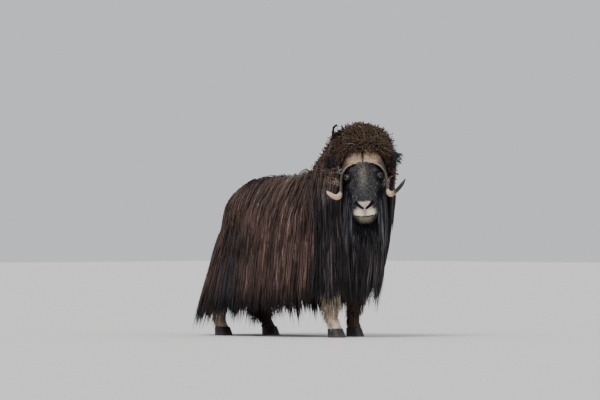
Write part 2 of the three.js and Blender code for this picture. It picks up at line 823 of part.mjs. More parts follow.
// Longer hair behind and beside the lower leg.
function legLocks({ stations, forward, right, lean, locks }, grow = 0) {
  const draw = drawsFrom(3);
  const leg = linesOf(
    stations.map(([along, , up, long, wide]) => [-up, along, long, wide]),
    ["along", "long", "wide"],
  );
  return range(locks).map((i) => {
    const heading = radians(lerp(70, 290, (i + 0.5) / locks));
    const [c, s] = [Math.cos(heading), Math.sin(heading)];
    const out = place(c, s, 0);
    const across = UP.clone().cross(out);
    const [high, low] = [330 + 40 * draw(), 120 + 20 * draw()];
    const frameAt = (t) => {
      const up = lerp(high, low, t);
      const middle = forward + leg.along(-up) + legLean(lean, up);
      return { point: place(middle + leg.long(-up) * c, right + leg.wide(-up) * s, up), out, across };
    };
    const sizes = { shape: HANGING_LOCK, width: 56, thickness: 24, sink: 20, lift: 16 };
    return lockSolid(frameAt, { ...sizes, bend: 8 * draw() }, grow);
  });
}

// One half of a cloven hoof: flat inside, round outside, its toe sloping.
function clawSolid({ forward, right }, inner) {
  const { length, width, height, cleft } = CLAW;
  const outline = range(9).map((k) => {
    const a = (Math.PI * k) / 8;
    return [Math.cos(a) * (length / 2), Math.sin(a) ** 0.8 * width];
  });
  const ring = (up, scale, ahead) =>
    outline.map(([along, out]) =>
      place(forward + along * scale + ahead, right + inner * (cleft + out * scale), up),
    );
  const top = LEG_FOOT - GAP;
  return loft([ring(0, 1, 8), ring(height * 0.45, 0.96, 2), ring(top, 0.84, -8)]);
}

// A short flat tail that hangs down the rump and tapers.
function tailSolid(grow = 0) {
  const rings = [0, 0.3, 0.7, 1].map((t) =>
    range(8).map((k) => {
      const a = (2 * Math.PI * k) / 8;
      const taper = 1 - 0.6 * t * t;
      return place(
        -TAIL.back - 60 * smooth(t * 1.6) + (TAIL.thickness * taper + grow) * Math.cos(a),
        (TAIL.width * taper + grow) * Math.sin(a),
        TAIL.up - TAIL.length * t + grow * (1 - 2 * t),
      );
    }),
  );
  return loft(rings);
}

// Parting the whole into its nodes

function allParts() {
  const forwardAxis = place(1, 0, 0);
  const neckPlane = place(NECK_PLANE, 0, 0);
  const frontPlane = place(BARREL_FRONT, 0, 0);
  const rearPlane = place(BARREL_REAR, 0, 0);

  const core = trunkSolid();
  const coreRoom = trunkSolid(CROSSING + 2 * GAP);
  const legs = Object.entries(FEET).map(([name, foot]) => {
    const leg = union([legSolid(foot), ...legLocks(foot)]);
    return [name, largest(leg.subtract(coreRoom)), foot];
  });
  const legRooms = legs.map(([, , foot]) =>
    union([legSolid(foot, 3 * GAP), ...legLocks(foot, 3 * GAP)]).subtract(core),
  );
  const tailRoom = tailSolid(2 * GAP).subtract(core);

  const body = coatSolid().subtract(union([...legRooms, headRoom(), tailRoom]));
  const fore = keepBehind(body, neckPlane, forwardAxis);
  const aft = keepBehind(fore, frontPlane, forwardAxis);
  const parts = {
    neck: keepAhead(body, neckPlane, forwardAxis),
    shoulders: keepAhead(fore, frontPlane, forwardAxis),
    barrel: keepAhead(aft, rearPlane, forwardAxis),
    rump: keepBehind(aft, rearPlane, forwardAxis),
    head: headSolid(),
    tail: tailSolid().subtract(coreRoom),
  };
  const hornRoom = union([1, -1].map((side) => hornSolid(side, GAP)));
  for (const [name, side] of [
    ["left", 1],
    ["right", -1],
  ]) {
    parts[`eye_${name}`] = headToBody(eyeSolid(side));
    parts[`horn_${name}`] = headToBody(hornSolid(side));
    parts[`ear_${name}`] = headToBody(earSolid(side).subtract(hornRoom));
  }
  for (const [name, solid, foot] of legs) {
    const outward = Math.sign(foot.right);
    parts[name] = solid;
    parts[`${name}_claw_outer`] = clawSolid(foot, outward);
    parts[`${name}_claw_inner`] = clawSolid(foot, -outward);
  }
  return parts;
}

const FINISHES = {
  coat: { color: 0x3a2a24, roughness: 0.9 },
  head: { color: 0x35302e, roughness: 0.9 },
  leg: { color: 0x9a8a72, roughness: 0.9 },
  horn: { color: 0xa08a6c, roughness: 0.5 },
  claw: { color: 0x1c1815, roughness: 0.6 },
  eye: { color: 0x120c08, roughness: 0.1 },
};
const finishOf = (name) =>
  FINISHES[["claw", "leg", "horn", "eye", "head"].find((word) => name.includes(word)) ?? "coat"];

// A named mesh from a solid.
function meshOf(name, solid) {
  const { numProp, numVert, vertProperties, triVerts } = solid.getMesh();
  const points = range(numVert).map((i) => vector(...vertProperties.subarray(i * numProp)));
  const geometry = new THREE.BufferGeometry().setFromPoints(points).setIndex([...triVerts]);
  const material = new THREE.MeshStandardMaterial({ ...finishOf(name), metalness: 0 });
  const mesh = new THREE.Mesh(geometry, material);
  mesh.name = name;
  return mesh;
}

const group = new THREE.Group();
for (const [name, solid] of Object.entries(allParts())) group.add(meshOf(name, largest(solid)));
const middle = new THREE.Box3().setFromObject(group).getCenter(vector(0, 0, 0));
group.position.set(-middle.x, -middle.y, 0);

export default group;
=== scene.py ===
"""A life-size muskox bull in its long coat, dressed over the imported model.

Places are worked out as forward, right and up in millimetres, from a point on the ground midway
between the fore and hind feet. place() turns them into points of the frame, in metres.
"""

import math

import bpy
import numpy as np
from mathutils import Matrix, Vector


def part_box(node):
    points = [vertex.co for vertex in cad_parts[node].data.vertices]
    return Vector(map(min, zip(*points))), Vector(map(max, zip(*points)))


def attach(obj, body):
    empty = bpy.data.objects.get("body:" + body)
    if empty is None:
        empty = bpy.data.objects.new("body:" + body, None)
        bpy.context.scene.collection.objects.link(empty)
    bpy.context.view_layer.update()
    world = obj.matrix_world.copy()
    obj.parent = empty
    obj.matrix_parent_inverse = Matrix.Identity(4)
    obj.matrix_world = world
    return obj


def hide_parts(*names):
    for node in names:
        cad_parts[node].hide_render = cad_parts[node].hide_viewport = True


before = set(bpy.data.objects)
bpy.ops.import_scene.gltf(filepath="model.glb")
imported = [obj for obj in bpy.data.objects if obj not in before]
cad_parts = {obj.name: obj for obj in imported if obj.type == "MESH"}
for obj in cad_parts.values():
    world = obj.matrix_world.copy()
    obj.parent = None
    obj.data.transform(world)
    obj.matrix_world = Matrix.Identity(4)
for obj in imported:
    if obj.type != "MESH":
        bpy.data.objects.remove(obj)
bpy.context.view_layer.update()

MM = 0.001
HOOF_OUTER = 233  # right of the middle line: the outer side of the right fore hoof
HOOF_TOE = 612  # forward of the start: the toe of the right fore hoof
hoof_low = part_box("foreleg_right_claw_outer")[0]
SHIFT = np.array([hoof_low.x + HOOF_OUTER * MM, hoof_low.y + HOOF_TOE * MM, 0.0])
UP = np.array([0.0, 0.0, 1.0])
TAU = 2 * math.pi

# Trunk and neck out to half the depth of the coat
TRUNK = np.array(
    [
        # forward, top, bottom, half width, shift to the right, coat over it, pinched ridge
        [-560, 830, 690, 35, 0, 40, 0.0],
        [-520, 900, 560, 125, 0, 42, 0.05],
        [-430, 965, 470, 195, 0, 42, 0.1],
        [-300, 1018, 425, 245, 0, 40, 0.12],
        [-150, 1043, 415, 280, 0, 38, 0.15],
        [50, 1050, 410, 302, 0, 38, 0.2],
        [180, 1078, 410, 300, 0, 44, 0.35],
        [290, 1128, 410, 285, 0, 54, 0.5],
        [390, 1222, 420, 262, 0, 66, 0.52],
        [470, 1312, 440, 240, 5, 72, 0.42],
        [560, 1352, 520, 215, 5, 72, 0.22],
        [640, 1345, 620, 190, 3, 70, 0.08],
        [710, 1300, 710, 158, 5, 62, 0.04],
        [770, 1232, 800, 108, 6, 52, 0.0],
        [812, 1120, 890, 45, 0, 45, 0.0],
    ],
    float,
)
SECTION_POWER = 2.35  # 2 is an ellipse, more is squarer
SKIN_DEPTH = 0.6  # how far the skin lies inside that, as a share of the coat over it

# The hanging coat's stations round the body, each an upright plane that leaves the trunk's
# middle at a forward place and a heading (0 ahead, 90 right)
LOOP = np.array(
    [
        # forward, heading, how far the hem stands out, height of the hem, how late it does
        [570, 0, -105, 205, 1.3],
        [570, 30, -105, 205, 1.2],
        [570, 52, -118, 208, 1.1],
        [545, 63, -95, 215, 1.1],
        [495, 74, 15, 230, 1.1],
        [430, 84, 45, 215, 1.1],
        [330, 90, 55, 180, 1.1],
        [-120, 90, 78, 168, 1.0],
        [-300, 90, 100, 150, 0.95],
        [-300, 115, 168, 118, 0.9],
        [-300, 150, 208, 85, 0.85],
        [-300, 180, 214, 80, 0.85],
        [-300, 210, 208, 85, 0.85],
        [-300, 245, 168, 105, 0.9],
        [-300, 270, 100, 130, 0.95],
        [-120, 270, 72, 160, 1.0],
        [330, 270, -30, 180, 1.1],
        [420, 274, -125, 215, 1.5],
        [480, 284, -190, 225, 1.9],
        [535, 294, -240, 225, 1.9],
        [570, 308, -238, 210, 1.9],
        [570, 330, -190, 205, 1.9],
        [570, 360, -105, 205, 1.3],
    ],
    float,
)

# The head's own frame: its left, down the face and out in front, from the poll
POLL = (700, 85, 1232)
HEAD_TURN = 48  # degrees to the right of the trunk's line
HEAD_DROP = 56  # degrees of the face below the level
HEAD_ROLL = 3.5  # degrees, left side up
SKULL = np.array(
    [
        # down the face, half width, front, back, how much narrower the front is than the back
        [-40, 100, 20, -150, 0.0],
        [0, 108, 42, -160, 0.0],
        [60, 114, 56, -168, 0.02],
        [120, 118, 60, -172, 0.05],
        [170, 119, 50, -172, 0.08],
        [214, 119, 41, -165, 0.12],
        [265, 109, 34, -152, 0.16],
        [320, 95, 29, -138, 0.16],
        [370, 86, 26, -128, 0.12],
        [412, 84, 20, -124, 0.08],
        [442, 84, 4, -124, 0.04],
        [468, 79, -21, -124, 0.02],
        [490, 66, -40, -121, 0.0],
        [508, 38, -62, -108, 0.0],
    ],
    float,
)
SKULL_POWER = 2.5
EYE_PLACE = (104, 215, 6)  # left, down, front
EYE_RADIUS = 21
EYE_LOOK = (0.68, 0.22, 0.70)
HORN = np.array(
    [
        # side, down, front, half breadth, half thickness, degrees its outer face has turned
        [4, 83, 56, 48, 14, 0],
        [45, 84, 56, 56, 17, 12],
        [84, 96, 44, 54, 17, 40],
        [120, 132, 16, 45, 14, 68],
        [141, 185, -6, 35, 11, 85],
        [150, 245, -16, 28, 11, 90],
        [152, 305, -12, 25, 12, 90],
        [160, 352, 8, 21, 14, 90],
        [184, 386, 42, 18, 14, 100],
        [222, 386, 84, 14, 12, 110],
        [256, 361, 110, 12, 11, 120],
        [280, 329, 124, 3, 3, 120],
    ],
    float,
)
WORN_TIP = (246, 367, 104, 2, 2, 120)  # the right horn's tip is worn shorter
EAR = {"root": (132, 46, -42), "length": 112, "width": 44, "depth": 26}

# Each leg as forward, right of that leg's own side, up, half length, half width
FORELEG = np.array(
    [
        [0, -20, 640, 80, 60],
        [-5, -10, 500, 72, 58],
        [0, 0, 380, 60, 54],
        [8, 0, 300, 56, 56],
        [2, 0, 240, 46, 48],
        [-4, 0, 160, 38, 42],
        [-2, 0, 115, 44, 50],
        [10, 0, 85, 44, 50],
        [22, 0, 58, 48, 54],
    ],
    float,
)
HINDLEG = np.array(
    [
        [110, -40, 640, 105, 60],
        [60, -20, 500, 85, 60],
        [0, -8, 390, 58, 48],
        [-30, -4, 330, 52, 44],
        [-34, 0, 270, 42, 40],
        [-22, 0, 180, 36, 38],
        [-14, 0, 115, 42, 46],
        [0, 0, 85, 44, 48],
        [14, 0, 58, 48, 52],
    ],
    float,
)
LEG_TOP = 640
LEG_FOOT = 58
LEG_BACKSET = 22  # the leg stands this far behind the middle of its hoof
HAIR_ON_LEG = 10  # the skin of a leg lies this far inside its solid
FEET = {
    "foreleg_right": {"rows": FORELEG, "forward": 545, "right": 178, "lean": -75},
    "foreleg_left": {"rows": FORELEG, "forward": 372, "right": -172, "lean": 95},
    "hindleg_right": {"rows": HINDLEG, "forward": -520, "right": 178, "lean": 40},
    "hindleg_left": {"rows": HINDLEG, "forward": -425, "right": -172, "lean": -60},
}
CLAW = {"length": 118, "width": 52, "height": 60, "cleft": 3}
TAIL = {"length": 150, "width": 38, "thickness": 17, "up": 800, "back": 545}

# Colours of hair, horn and skin
BLACK = np.array([0.010, 0.009, 0.010])
BLUE_BLACK = np.array([0.014, 0.014, 0.019])
DARK_BROWN = np.array([0.036, 0.021, 0.017])
RED_BROWN = np.array([0.098, 0.055, 0.044])
OLIVE_BROWN = np.array([0.088, 0.062, 0.036])
PINK_TAN = np.array([0.340, 0.225, 0.170])
GREY_BROWN = np.array([0.190, 0.140, 0.105])
SLATE = np.array([0.120, 0.115, 0.125])
SADDLE = np.array([0.420, 0.400, 0.370])
SADDLE_TAN = np.array([0.200, 0.130, 0.085])
SHED_WOOL = np.array([0.340, 0.300, 0.260])
FACE_BLACK = np.array([0.011, 0.011, 0.015])
SPECKLE = np.array([0.230, 0.220, 0.215])
OLIVE_GREY = np.array([0.210, 0.195, 0.145])
LIP_WHITE = np.array([0.700, 0.620, 0.460])
CHIN_TAN = np.array([0.230, 0.190, 0.135])
NOSE_PINK = np.array([0.480, 0.400, 0.350])
LID_HIGHLIGHT = np.array([0.260, 0.240, 0.230])
LEG_PALE = np.array([0.500, 0.410, 0.300])
LEG_BROWN = np.array([0.105, 0.058, 0.036])


# Plain tools


def place(forward, right, up):
    """Forward, right and up in millimetres as points of the frame, in metres."""
    return np.stack(np.broadcast_arrays(-right, -forward, up), axis=-1) * MM + SHIFT


def direction(forward, right, up):
    """The same turn for a direction, with no move."""
    return np.stack(np.broadcast_arrays(-right, -forward, up), axis=-1).astype(float)


def along_body(points):
    """Forward, right and up in millimetres of points of the frame."""
    local = (points - SHIFT) / MM
    return -local[..., 1], -local[..., 0], local[..., 2]


def unit(vectors):
    length = np.linalg.norm(vectors, axis=-1, keepdims=True)
    return vectors / np.maximum(length, 1e-9)


def smooth_line(xs, ys):
    """A smooth line through points, level beyond its ends."""
    slope = np.gradient(ys, xs)
    slope[1:-1] = (ys[2:] - ys[:-2]) / (xs[2:] - xs[:-2])

    def value(x):
        x = np.clip(x, xs[0], xs[-1])
        i = np.clip(np.searchsorted(xs, x, side="right") - 1, 0, len(xs) - 2)
        w = xs[i + 1] - xs[i]
        t = (x - xs[i]) / w
        rise = t * t * (3 - 2 * t)
        swing = slope[i] * t * (1 - t) ** 2 - slope[i + 1] * t * t * (1 - t)
        return ys[i] + (ys[i + 1] - ys[i]) * rise + w * swing

    return value


def lines_of(table, names):
    """The columns of a table, each as a smooth line over its first column."""
    return {name: smooth_line(table[:, 0], table[:, i + 1]) for i, name in enumerate(names)}


def signed_power(values, power):
    return np.sign(values) * np.abs(values) ** power


def step(values, low, high):
    """0 below low, 1 above high and smooth between."""
    t = np.clip((values - low) / (high - low), 0, 1)
    return t * t * (3 - 2 * t)


def bump(values, middle, width):
    """A smooth hill of height 1."""
    return np.exp(-(((values - middle) / width) ** 2))


def mix(a, b, share):
    """Colours a and b mixed by a share for each point."""
    share = np.asarray(share)[..., None]
    return a * (1 - share) + b * share


def ripples(points, size, seed):
    """Smooth noise in about -1 to 1: a sum of waves that slant at random."""
    draw = np.random.default_rng(seed)
    waves = 7
    total = np.zeros(points.shape[:-1])
    for _ in range(waves):
        heading = unit(draw.normal(size=3)) * draw.uniform(0.6, 1.8) / size
        total += np.sin(points @ heading * TAU + draw.uniform(0, TAU))
    return total / math.sqrt(waves)


# Trunk, head and legs as shapes

trunk = lines_of(TRUNK, ["top", "bottom", "half", "shift", "coat", "pinch"])
skull = lines_of(SKULL, ["half", "front", "back", "narrow"])


def trunk_point(forward, angle, grow=0.0):
    """A point on the trunk at an angle from its top line, towards the right."""
    top, bottom = trunk["top"](forward), trunk["bottom"](forward)
    height = signed_power(np.cos(angle), 2 / SECTION_POWER)
    side = signed_power(np.sin(angle), 2 / SECTION_POWER)
    narrow = 1 - trunk["pinch"](forward) * np.maximum(height, 0)
    right = trunk["shift"](forward) + (trunk["half"](forward) * narrow + grow) * side
    up = (top + bottom) / 2 + ((top - bottom) / 2 + grow) * height
    return place(forward, right, up)


def inside_trunk(forward, right, up):
    top, bottom = trunk["top"](forward), trunk["bottom"](forward)
    height = (up - (top + bottom) / 2) / ((top - bottom) / 2)
    narrow = 1 - trunk["pinch"](forward) * np.maximum(height, 0)
    across = (right - trunk["shift"](forward)) / (trunk["half"](forward) * narrow)
    section = np.abs(across) ** SECTION_POWER + np.abs(height) ** SECTION_POWER
    return (section < 1) & (forward > TRUNK[0, 0]) & (forward < TRUNK[-1, 0])


def head_frame():
    """The matrix that takes the head's own millimetres to the frame."""
    turn, drop = math.radians(HEAD_TURN), math.radians(HEAD_DROP)
    heading = direction(math.cos(turn), math.sin(turn), 0)
    down = heading * math.cos(drop) - UP * math.sin(drop)
    front = heading * math.sin(drop) + UP * math.cos(drop)
    left = np.cross(front, down)
    roll = np.array(Matrix.Rotation(math.radians(HEAD_ROLL), 3, Vector(heading)))
    return roll @ np.stack([left, down, front], axis=1)


HEAD = head_frame()
HEAD_ORIGIN = place(*POLL)
FACE_SLOPE = (math.sin(math.radians(HEAD_DROP)), math.cos(math.radians(HEAD_DROP)))


def from_head(points):
    """The head's own millimetres as points of the frame."""
    return np.asarray(points, float) @ HEAD.T * MM + HEAD_ORIGIN


def to_head(points):
    return (points - HEAD_ORIGIN) @ HEAD / MM


def below_poll(down, front):
    """How far a place of the head is below the poll, as the photo shows it."""
    return FACE_SLOPE[0] * down - FACE_SLOPE[1] * front


def inside_head(points, grow=0.0):
    left, down, front = np.moveaxis(to_head(points), -1, 0)
    top, back = skull["front"](down) + grow, skull["back"](down) - grow
    rise = (front - (top + back) / 2) / ((top - back) / 2)
    wide = (skull["half"](down) + grow) * (1 - skull["narrow"](down) * np.clip(rise, -1, 1))
    section = np.abs(left / wide) ** SKULL_POWER + np.abs(rise) ** SKULL_POWER
    return (section < 1) & (down > SKULL[0, 0] - grow) & (down < SKULL[-1, 0] + grow)


def skull_surface(down, angle):
    """Points of the bare skull in its own millimetres, at an angle from the face's middle."""
    middle = (skull["front"](down) + skull["back"](down)) / 2
    deep = (skull["front"](down) - skull["back"](down)) / 2
    rise = signed_power(np.cos(angle), 2 / SKULL_POWER)
    side = signed_power(np.sin(angle), 2 / SKULL_POWER)
    left = skull["half"](down) * (1 - skull["narrow"](down) * rise) * side
    return np.stack([left, down, middle + deep * rise], axis=-1)


# Folds and hollows of the face: left, down, front, spread of each, and how far they stand out.
# Each is made on both sides.
FOLDS = [
    (90, 176, 26, 24, 20, 26, 9),  # brow over the eye
    (112, 250, -20, 20, 16, 26, 4),  # fold under the eye
    (66, 285, 24, 18, 44, 16, -5),  # hollow beside the nose bone
    (96, 316, -40, 30, 46, 34, -8),  # hollow of the cheek
    (108, 240, -112, 34, 60, 42, 9),  # muscle of the jaw
    (0, 340, 30, 30, 70, 18, 4),  # ridge of the nose
    (64, 422, 6, 14, 20, 18, 5),  # rim of the nostril, outside
    (12, 438, 8, 16, 16, 16, 4),  # pad between the nostrils
    (52, 468, -48, 26, 26, 24, 6),  # upper lip
    (26, 498, -86, 30, 20, 22, 6),  # chin
]
# Each nostril is a slanting comma, as a line in the head's own millimetres
NOSTRIL = {
    "inner": (12, 455, -8),
    "outer": (55, 420, 4),
    "way": (0, 0.7, 0.7),
    "radius": 10.0,
    "depth": 19,
}
MOUTH = {"down": 445, "front": -74, "slope": 0.625, "corner": 392, "width": 3.4, "depth": 8}


def distance_to_line(points, start, end):
    start, end = np.array(start, float), np.array(end, float)
    span = end - start
    t = np.clip(((points - start) @ span) / (span @ span), 0, 1)
    return np.linalg.norm(points - (start + t[..., None] * span), axis=-1), t


def on_left(points):
    """The same points, all on the head's left."""
    folded = points.copy()
    folded[..., 0] = np.abs(folded[..., 0])
    return folded


def nostril_gap(points):
    """Distance from the nostril's line as seen into it, and how far along the line."""
    way = unit(np.array(NOSTRIL["way"]))
    ends = np.array([NOSTRIL["inner"], NOSTRIL["outer"]], float)
    flat_ends = ends - (ends @ way)[:, None] * way
    return distance_to_line(points - (points @ way)[..., None] * way, *flat_ends)


def above_mouth(points):
    """How far a place of the head is in front of the line where the lips meet."""
    left, down, front = np.moveaxis(points, -1, 0)
    return front - MOUTH["front"] - MOUTH["slope"] * (down - MOUTH["down"]) + 3 * np.cos(left / 18)


def face_relief(points):
    """How far the face stands out of the bare skull, in millimetres."""
    near = on_left(points)
    left, down, front = np.moveaxis(near, -1, 0)
    relief = np.zeros(points.shape[:-1])
    for fold_left, fold_down, fold_front, wide, long, deep, height in FOLDS:
        hill = bump(left, fold_left, wide) * bump(down, fold_down, long)
        relief += height * hill * bump(front, fold_front, deep)
    eye = np.linalg.norm(near - np.array(EYE_PLACE), axis=-1)
    relief -= 5 * bump(eye, 30, 9)
    gap, t = distance_to_line(near, NOSTRIL["inner"], NOSTRIL["outer"])
    radius = NOSTRIL["radius"] * (0.6 + 0.6 * t)
    relief -= NOSTRIL["depth"] * np.exp(-((gap / radius) ** 4))
    relief += 3.0 * bump(gap, radius * 1.6, radius * 0.45)
    lips = step(down, MOUTH["corner"] - 10, MOUTH["corner"] + 12)
    level = above_mouth(points)
    relief -= MOUTH["depth"] * lips * np.exp(-((level / MOUTH["width"]) ** 2))
    relief += 2.5 * lips * bump(level, 11, 6)
    relief += 2.0 * lips * bump(level, -10, 6)
    return relief


def face_surface(down, angle):
    """Points and outward normals of the sculpted head in its own millimetres."""
    reach = 1.5
    turn = 0.012
    base = skull_surface(down, angle)
    along = skull_surface(down + reach, angle) - skull_surface(down - reach, angle)
    across = skull_surface(down, angle + turn) - skull_surface(down, angle - turn)
    normal = unit(np.cross(along, across))
    middle = (skull["front"](down) + skull["back"](down)) / 2 + 0 * base[..., 0]
    core = np.stack([0 * middle, base[..., 1] - 20, middle], -1)
    facing = np.sign(np.sum(normal * (base - core), axis=-1, keepdims=True))
    normal = normal * np.where(facing == 0, 1, facing)
    return base + normal * face_relief(base)[..., None], normal


def leg_lines(foot):
    rows = foot["rows"][::-1]
    columns = {"along": 0, "out": 1, "long": 3, "wide": 4}
    return {name: smooth_line(rows[:, 2], rows[:, i]) for name, i in columns.items()}


def leg_lean(foot, up):
    return foot["lean"] * (up - LEG_FOOT) / (LEG_TOP - LEG_FOOT) - LEG_BACKSET


def leg_surface(foot, up, angle, grow=0.0):
    """Points of a leg at a height and an angle from straight ahead, towards the right."""
    lines = leg_lines(foot)
    side = math.copysign(1, foot["right"])
    middle = foot["forward"] + lines["along"](up) + leg_lean(foot, up)
    forward = middle + (lines["long"](up) + grow) * np.cos(angle)
    right = foot["right"] + side * lines["out"](up) + (lines["wide"](up) + grow) * np.sin(angle)
    return place(forward, right, up)


# Meshes


def mesh_object(name, points, quads, triangles, smooth=True):
    """An object from points and faces."""
    quads = np.asarray(quads, np.int32).reshape(-1, 4)
    triangles = np.asarray(triangles, np.int32).reshape(-1, 3)
    corners = np.concatenate([quads.ravel(), triangles.ravel()])
    starts = np.concatenate(
        [np.arange(len(quads)) * 4, len(quads) * 4 + np.arange(len(triangles)) * 3]
    ).astype(np.int32)
    mesh = bpy.data.meshes.new(name)
    mesh.vertices.add(len(points))
    mesh.vertices.foreach_set("co", np.asarray(points, np.float32).ravel())
    mesh.loops.add(len(corners))
    mesh.loops.foreach_set("vertex_index", corners)
    mesh.polygons.add(len(starts))
    mesh.polygons.foreach_set("loop_start", starts)
    mesh.polygons.foreach_set("use_smooth", np.full(len(starts), smooth))
    mesh.update(calc_edges=True)
    mesh.validate()
    piece = bpy.data.objects.new(name, mesh)
    bpy.context.scene.collection.objects.link(piece)
    return piece


def loft_faces(rings, sides):
    """Quads between rings of equally many points, and the triangles that close both ends."""
    ring, k = np.meshgrid(np.arange(rings - 1), np.arange(sides), indexing="ij")
    after = (k + 1) % sides
    near, far = ring * sides, (ring + 1) * sides
    quads = np.stack([near + k, near + after, far + after, far + k], -1)
    fan = np.arange(1, sides - 1)
    first = np.stack([np.zeros_like(fan), fan + 1, fan], -1)
    last = (rings - 1) * sides + np.stack([np.zeros_like(fan), fan, fan + 1], -1)
    return quads.reshape(-1, 4), np.concatenate([first, last])


def volume(points, quads, triangles):
    """The signed volume inside a closed mesh."""
    faces = np.concatenate([quads[:, [0, 1, 2]], quads[:, [0, 2, 3]], triangles])
    a, b, c = (points[faces[:, k]] for k in range(3))
    return np.sum(np.cross(a, b) * c) / 6


def loft(name, rings):
    """A closed skin over rings of points, an array of rings, sides and places."""
    count, sides = rings.shape[:2]
    quads, triangles = loft_faces(count, sides)
    points = rings.reshape(-1, 3)
    if volume(points - points.mean(axis=0), quads, triangles) < 0:
        quads, triangles = quads[:, ::-1], triangles[:, ::-1]
    return mesh_object(name, points, quads, triangles)


def paint(piece, tints):
    """Gives each vertex its own colour, in the attribute named tint."""
    colours = np.ones((len(piece.data.vertices), 4), np.float32)
    colours[:, :3] = np.clip(tints, 0, 1)
    attribute = piece.data.color_attributes.new(name="tint", type="FLOAT_COLOR", domain="POINT")
    attribute.data.foreach_set("color", colours.ravel())


def points_of(piece):
    points = np.empty(len(piece.data.vertices) * 3, np.float32)
    piece.data.vertices.foreach_get("co", points)
    return points.reshape(-1, 3).astype(float)


def finish_piece(piece, material, nodes=()):
    """Sets the material and the body of a piece, and what it replaces."""
    piece.data.materials.clear()
    piece.data.materials.append(material)
    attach(piece, "root")
    if nodes:
        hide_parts(*nodes)
    return piece


# Materials


def new_material(name, roughness, specular):
    material = bpy.data.materials.new(name)
    material.use_nodes = True
    shader = material.node_tree.nodes["Principled BSDF"]
    shader.inputs["Roughness"].default_value = roughness
    shader.inputs["Specular IOR Level"].default_value = specular
    return material, material.node_tree, shader


def add_tint(tree, shader, scale, low, high, detail=4.0):
    """The tint of each vertex, made lighter and darker by noise, as the base colour."""
    tint = tree.nodes.new("ShaderNodeAttribute")
    tint.attribute_name = "tint"
    spot = tree.nodes.new("ShaderNodeTexCoord")
    noise = tree.nodes.new("ShaderNodeTexNoise")
    noise.inputs["Scale"].default_value = scale
    noise.inputs["Detail"].default_value = detail
    tree.links.new(spot.outputs["Object"], noise.inputs["Vector"])
    span = tree.nodes.new("ShaderNodeMapRange")
    span.inputs["From Min"].default_value = 0.25
    span.inputs["From Max"].default_value = 0.75
    span.inputs["To Min"].default_value = low
    span.inputs["To Max"].default_value = high
    tree.links.new(noise.outputs["Fac"], span.inputs["Value"])
    shade = tree.nodes.new("ShaderNodeVectorMath")
    shade.operation = "SCALE"
    tree.links.new(tint.outputs["Color"], shade.inputs[0])
    tree.links.new(span.outputs["Result"], shade.inputs["Scale"])
    tree.links.new(shade.outputs["Vector"], shader.inputs["Base Color"])


def add_bump(tree, shader, scale, strength, distance, stretch=(1, 1, 1)):
    spot = tree.nodes.new("ShaderNodeTexCoord")
    squeeze = tree.nodes.new("ShaderNodeMapping")
    squeeze.inputs["Scale"].default_value = stretch
    noise = tree.nodes.new("ShaderNodeTexNoise")
    noise.inputs["Scale"].default_value = scale
    noise.inputs["Detail"].default_value = 6.0
    relief = tree.nodes.new("ShaderNodeBump")
    relief.inputs["Strength"].default_value = strength
    relief.inputs["Distance"].default_value = distance
    tree.links.new(spot.outputs["Object"], squeeze.inputs["Vector"])
    tree.links.new(squeeze.outputs["Vector"], noise.inputs["Vector"])
    tree.links.new(noise.outputs["Fac"], relief.inputs["Height"])
    tree.links.new(relief.outputs["Normal"], shader.inputs["Normal"])


def hair_material():
    material, tree, shader = new_material("long_hair", 0.48, 0.3)
    add_tint(tree, shader, 90.0, 0.7, 1.3)
    return material


def wool_material():
    material, tree, shader = new_material("curly_wool", 0.8, 0.15)
    add_tint(tree, shader, 140.0, 0.6, 1.4)
    return material


def face_hair_material():
    material, tree, shader = new_material("face_hair", 0.6, 0.2)
    add_tint(tree, shader, 220.0, 0.6, 1.4)
    return material


def skin_material():
    material, tree, shader = new_material("short_hair", 0.7, 0.2)
    add_tint(tree, shader, 260.0, 0.55, 1.45, detail=8.0)
    add_bump(tree, shader, 420.0, 0.6, 0.003, stretch=(1, 1, 0.35))
    return material


def horn_material():
    material, tree, shader = new_material("horn", 0.42, 0.4)
    add_tint(tree, shader, 70.0, 0.7, 1.3, detail=8.0)
    add_bump(tree, shader, 160.0, 0.4, 0.003)
    return material


def hoof_material():
    material, tree, shader = new_material("hoof", 0.5, 0.4)
    add_tint(tree, shader, 80.0, 0.6, 1.4)
    add_bump(tree, shader, 120.0, 0.4, 0.002, stretch=(1, 1, 5))
    return material


def eye_material():
    material, tree, shader = new_material("wet_eye", 0.08, 0.3)
    add_tint(tree, shader, 500.0, 0.8, 1.2)
    shader.inputs["Coat Weight"].default_value = 0.25
    shader.inputs["Coat Roughness"].default_value = 0.03
    return material


def floor_material():
    material, tree, shader = new_material("pale_floor", 0.9, 0.2)
    spot = tree.nodes.new("ShaderNodeTexCoord")
    noise = tree.nodes.new("ShaderNodeTexNoise")
    noise.inputs["Scale"].default_value = 3.0
    ramp = tree.nodes.new("ShaderNodeValToRGB")
    ramp.color_ramp.elements[0].color = (0.62, 0.62, 0.61, 1)
    ramp.color_ramp.elements[1].color = (0.68, 0.68, 0.67, 1)
    tree.links.new(spot.outputs["Object"], noise.inputs["Vector"])
    tree.links.new(noise.outputs["Fac"], ramp.inputs["Fac"])
    tree.links.new(ramp.outputs["Color"], shader.inputs["Base Color"])
    return material


# Markings, the same for skin and coat


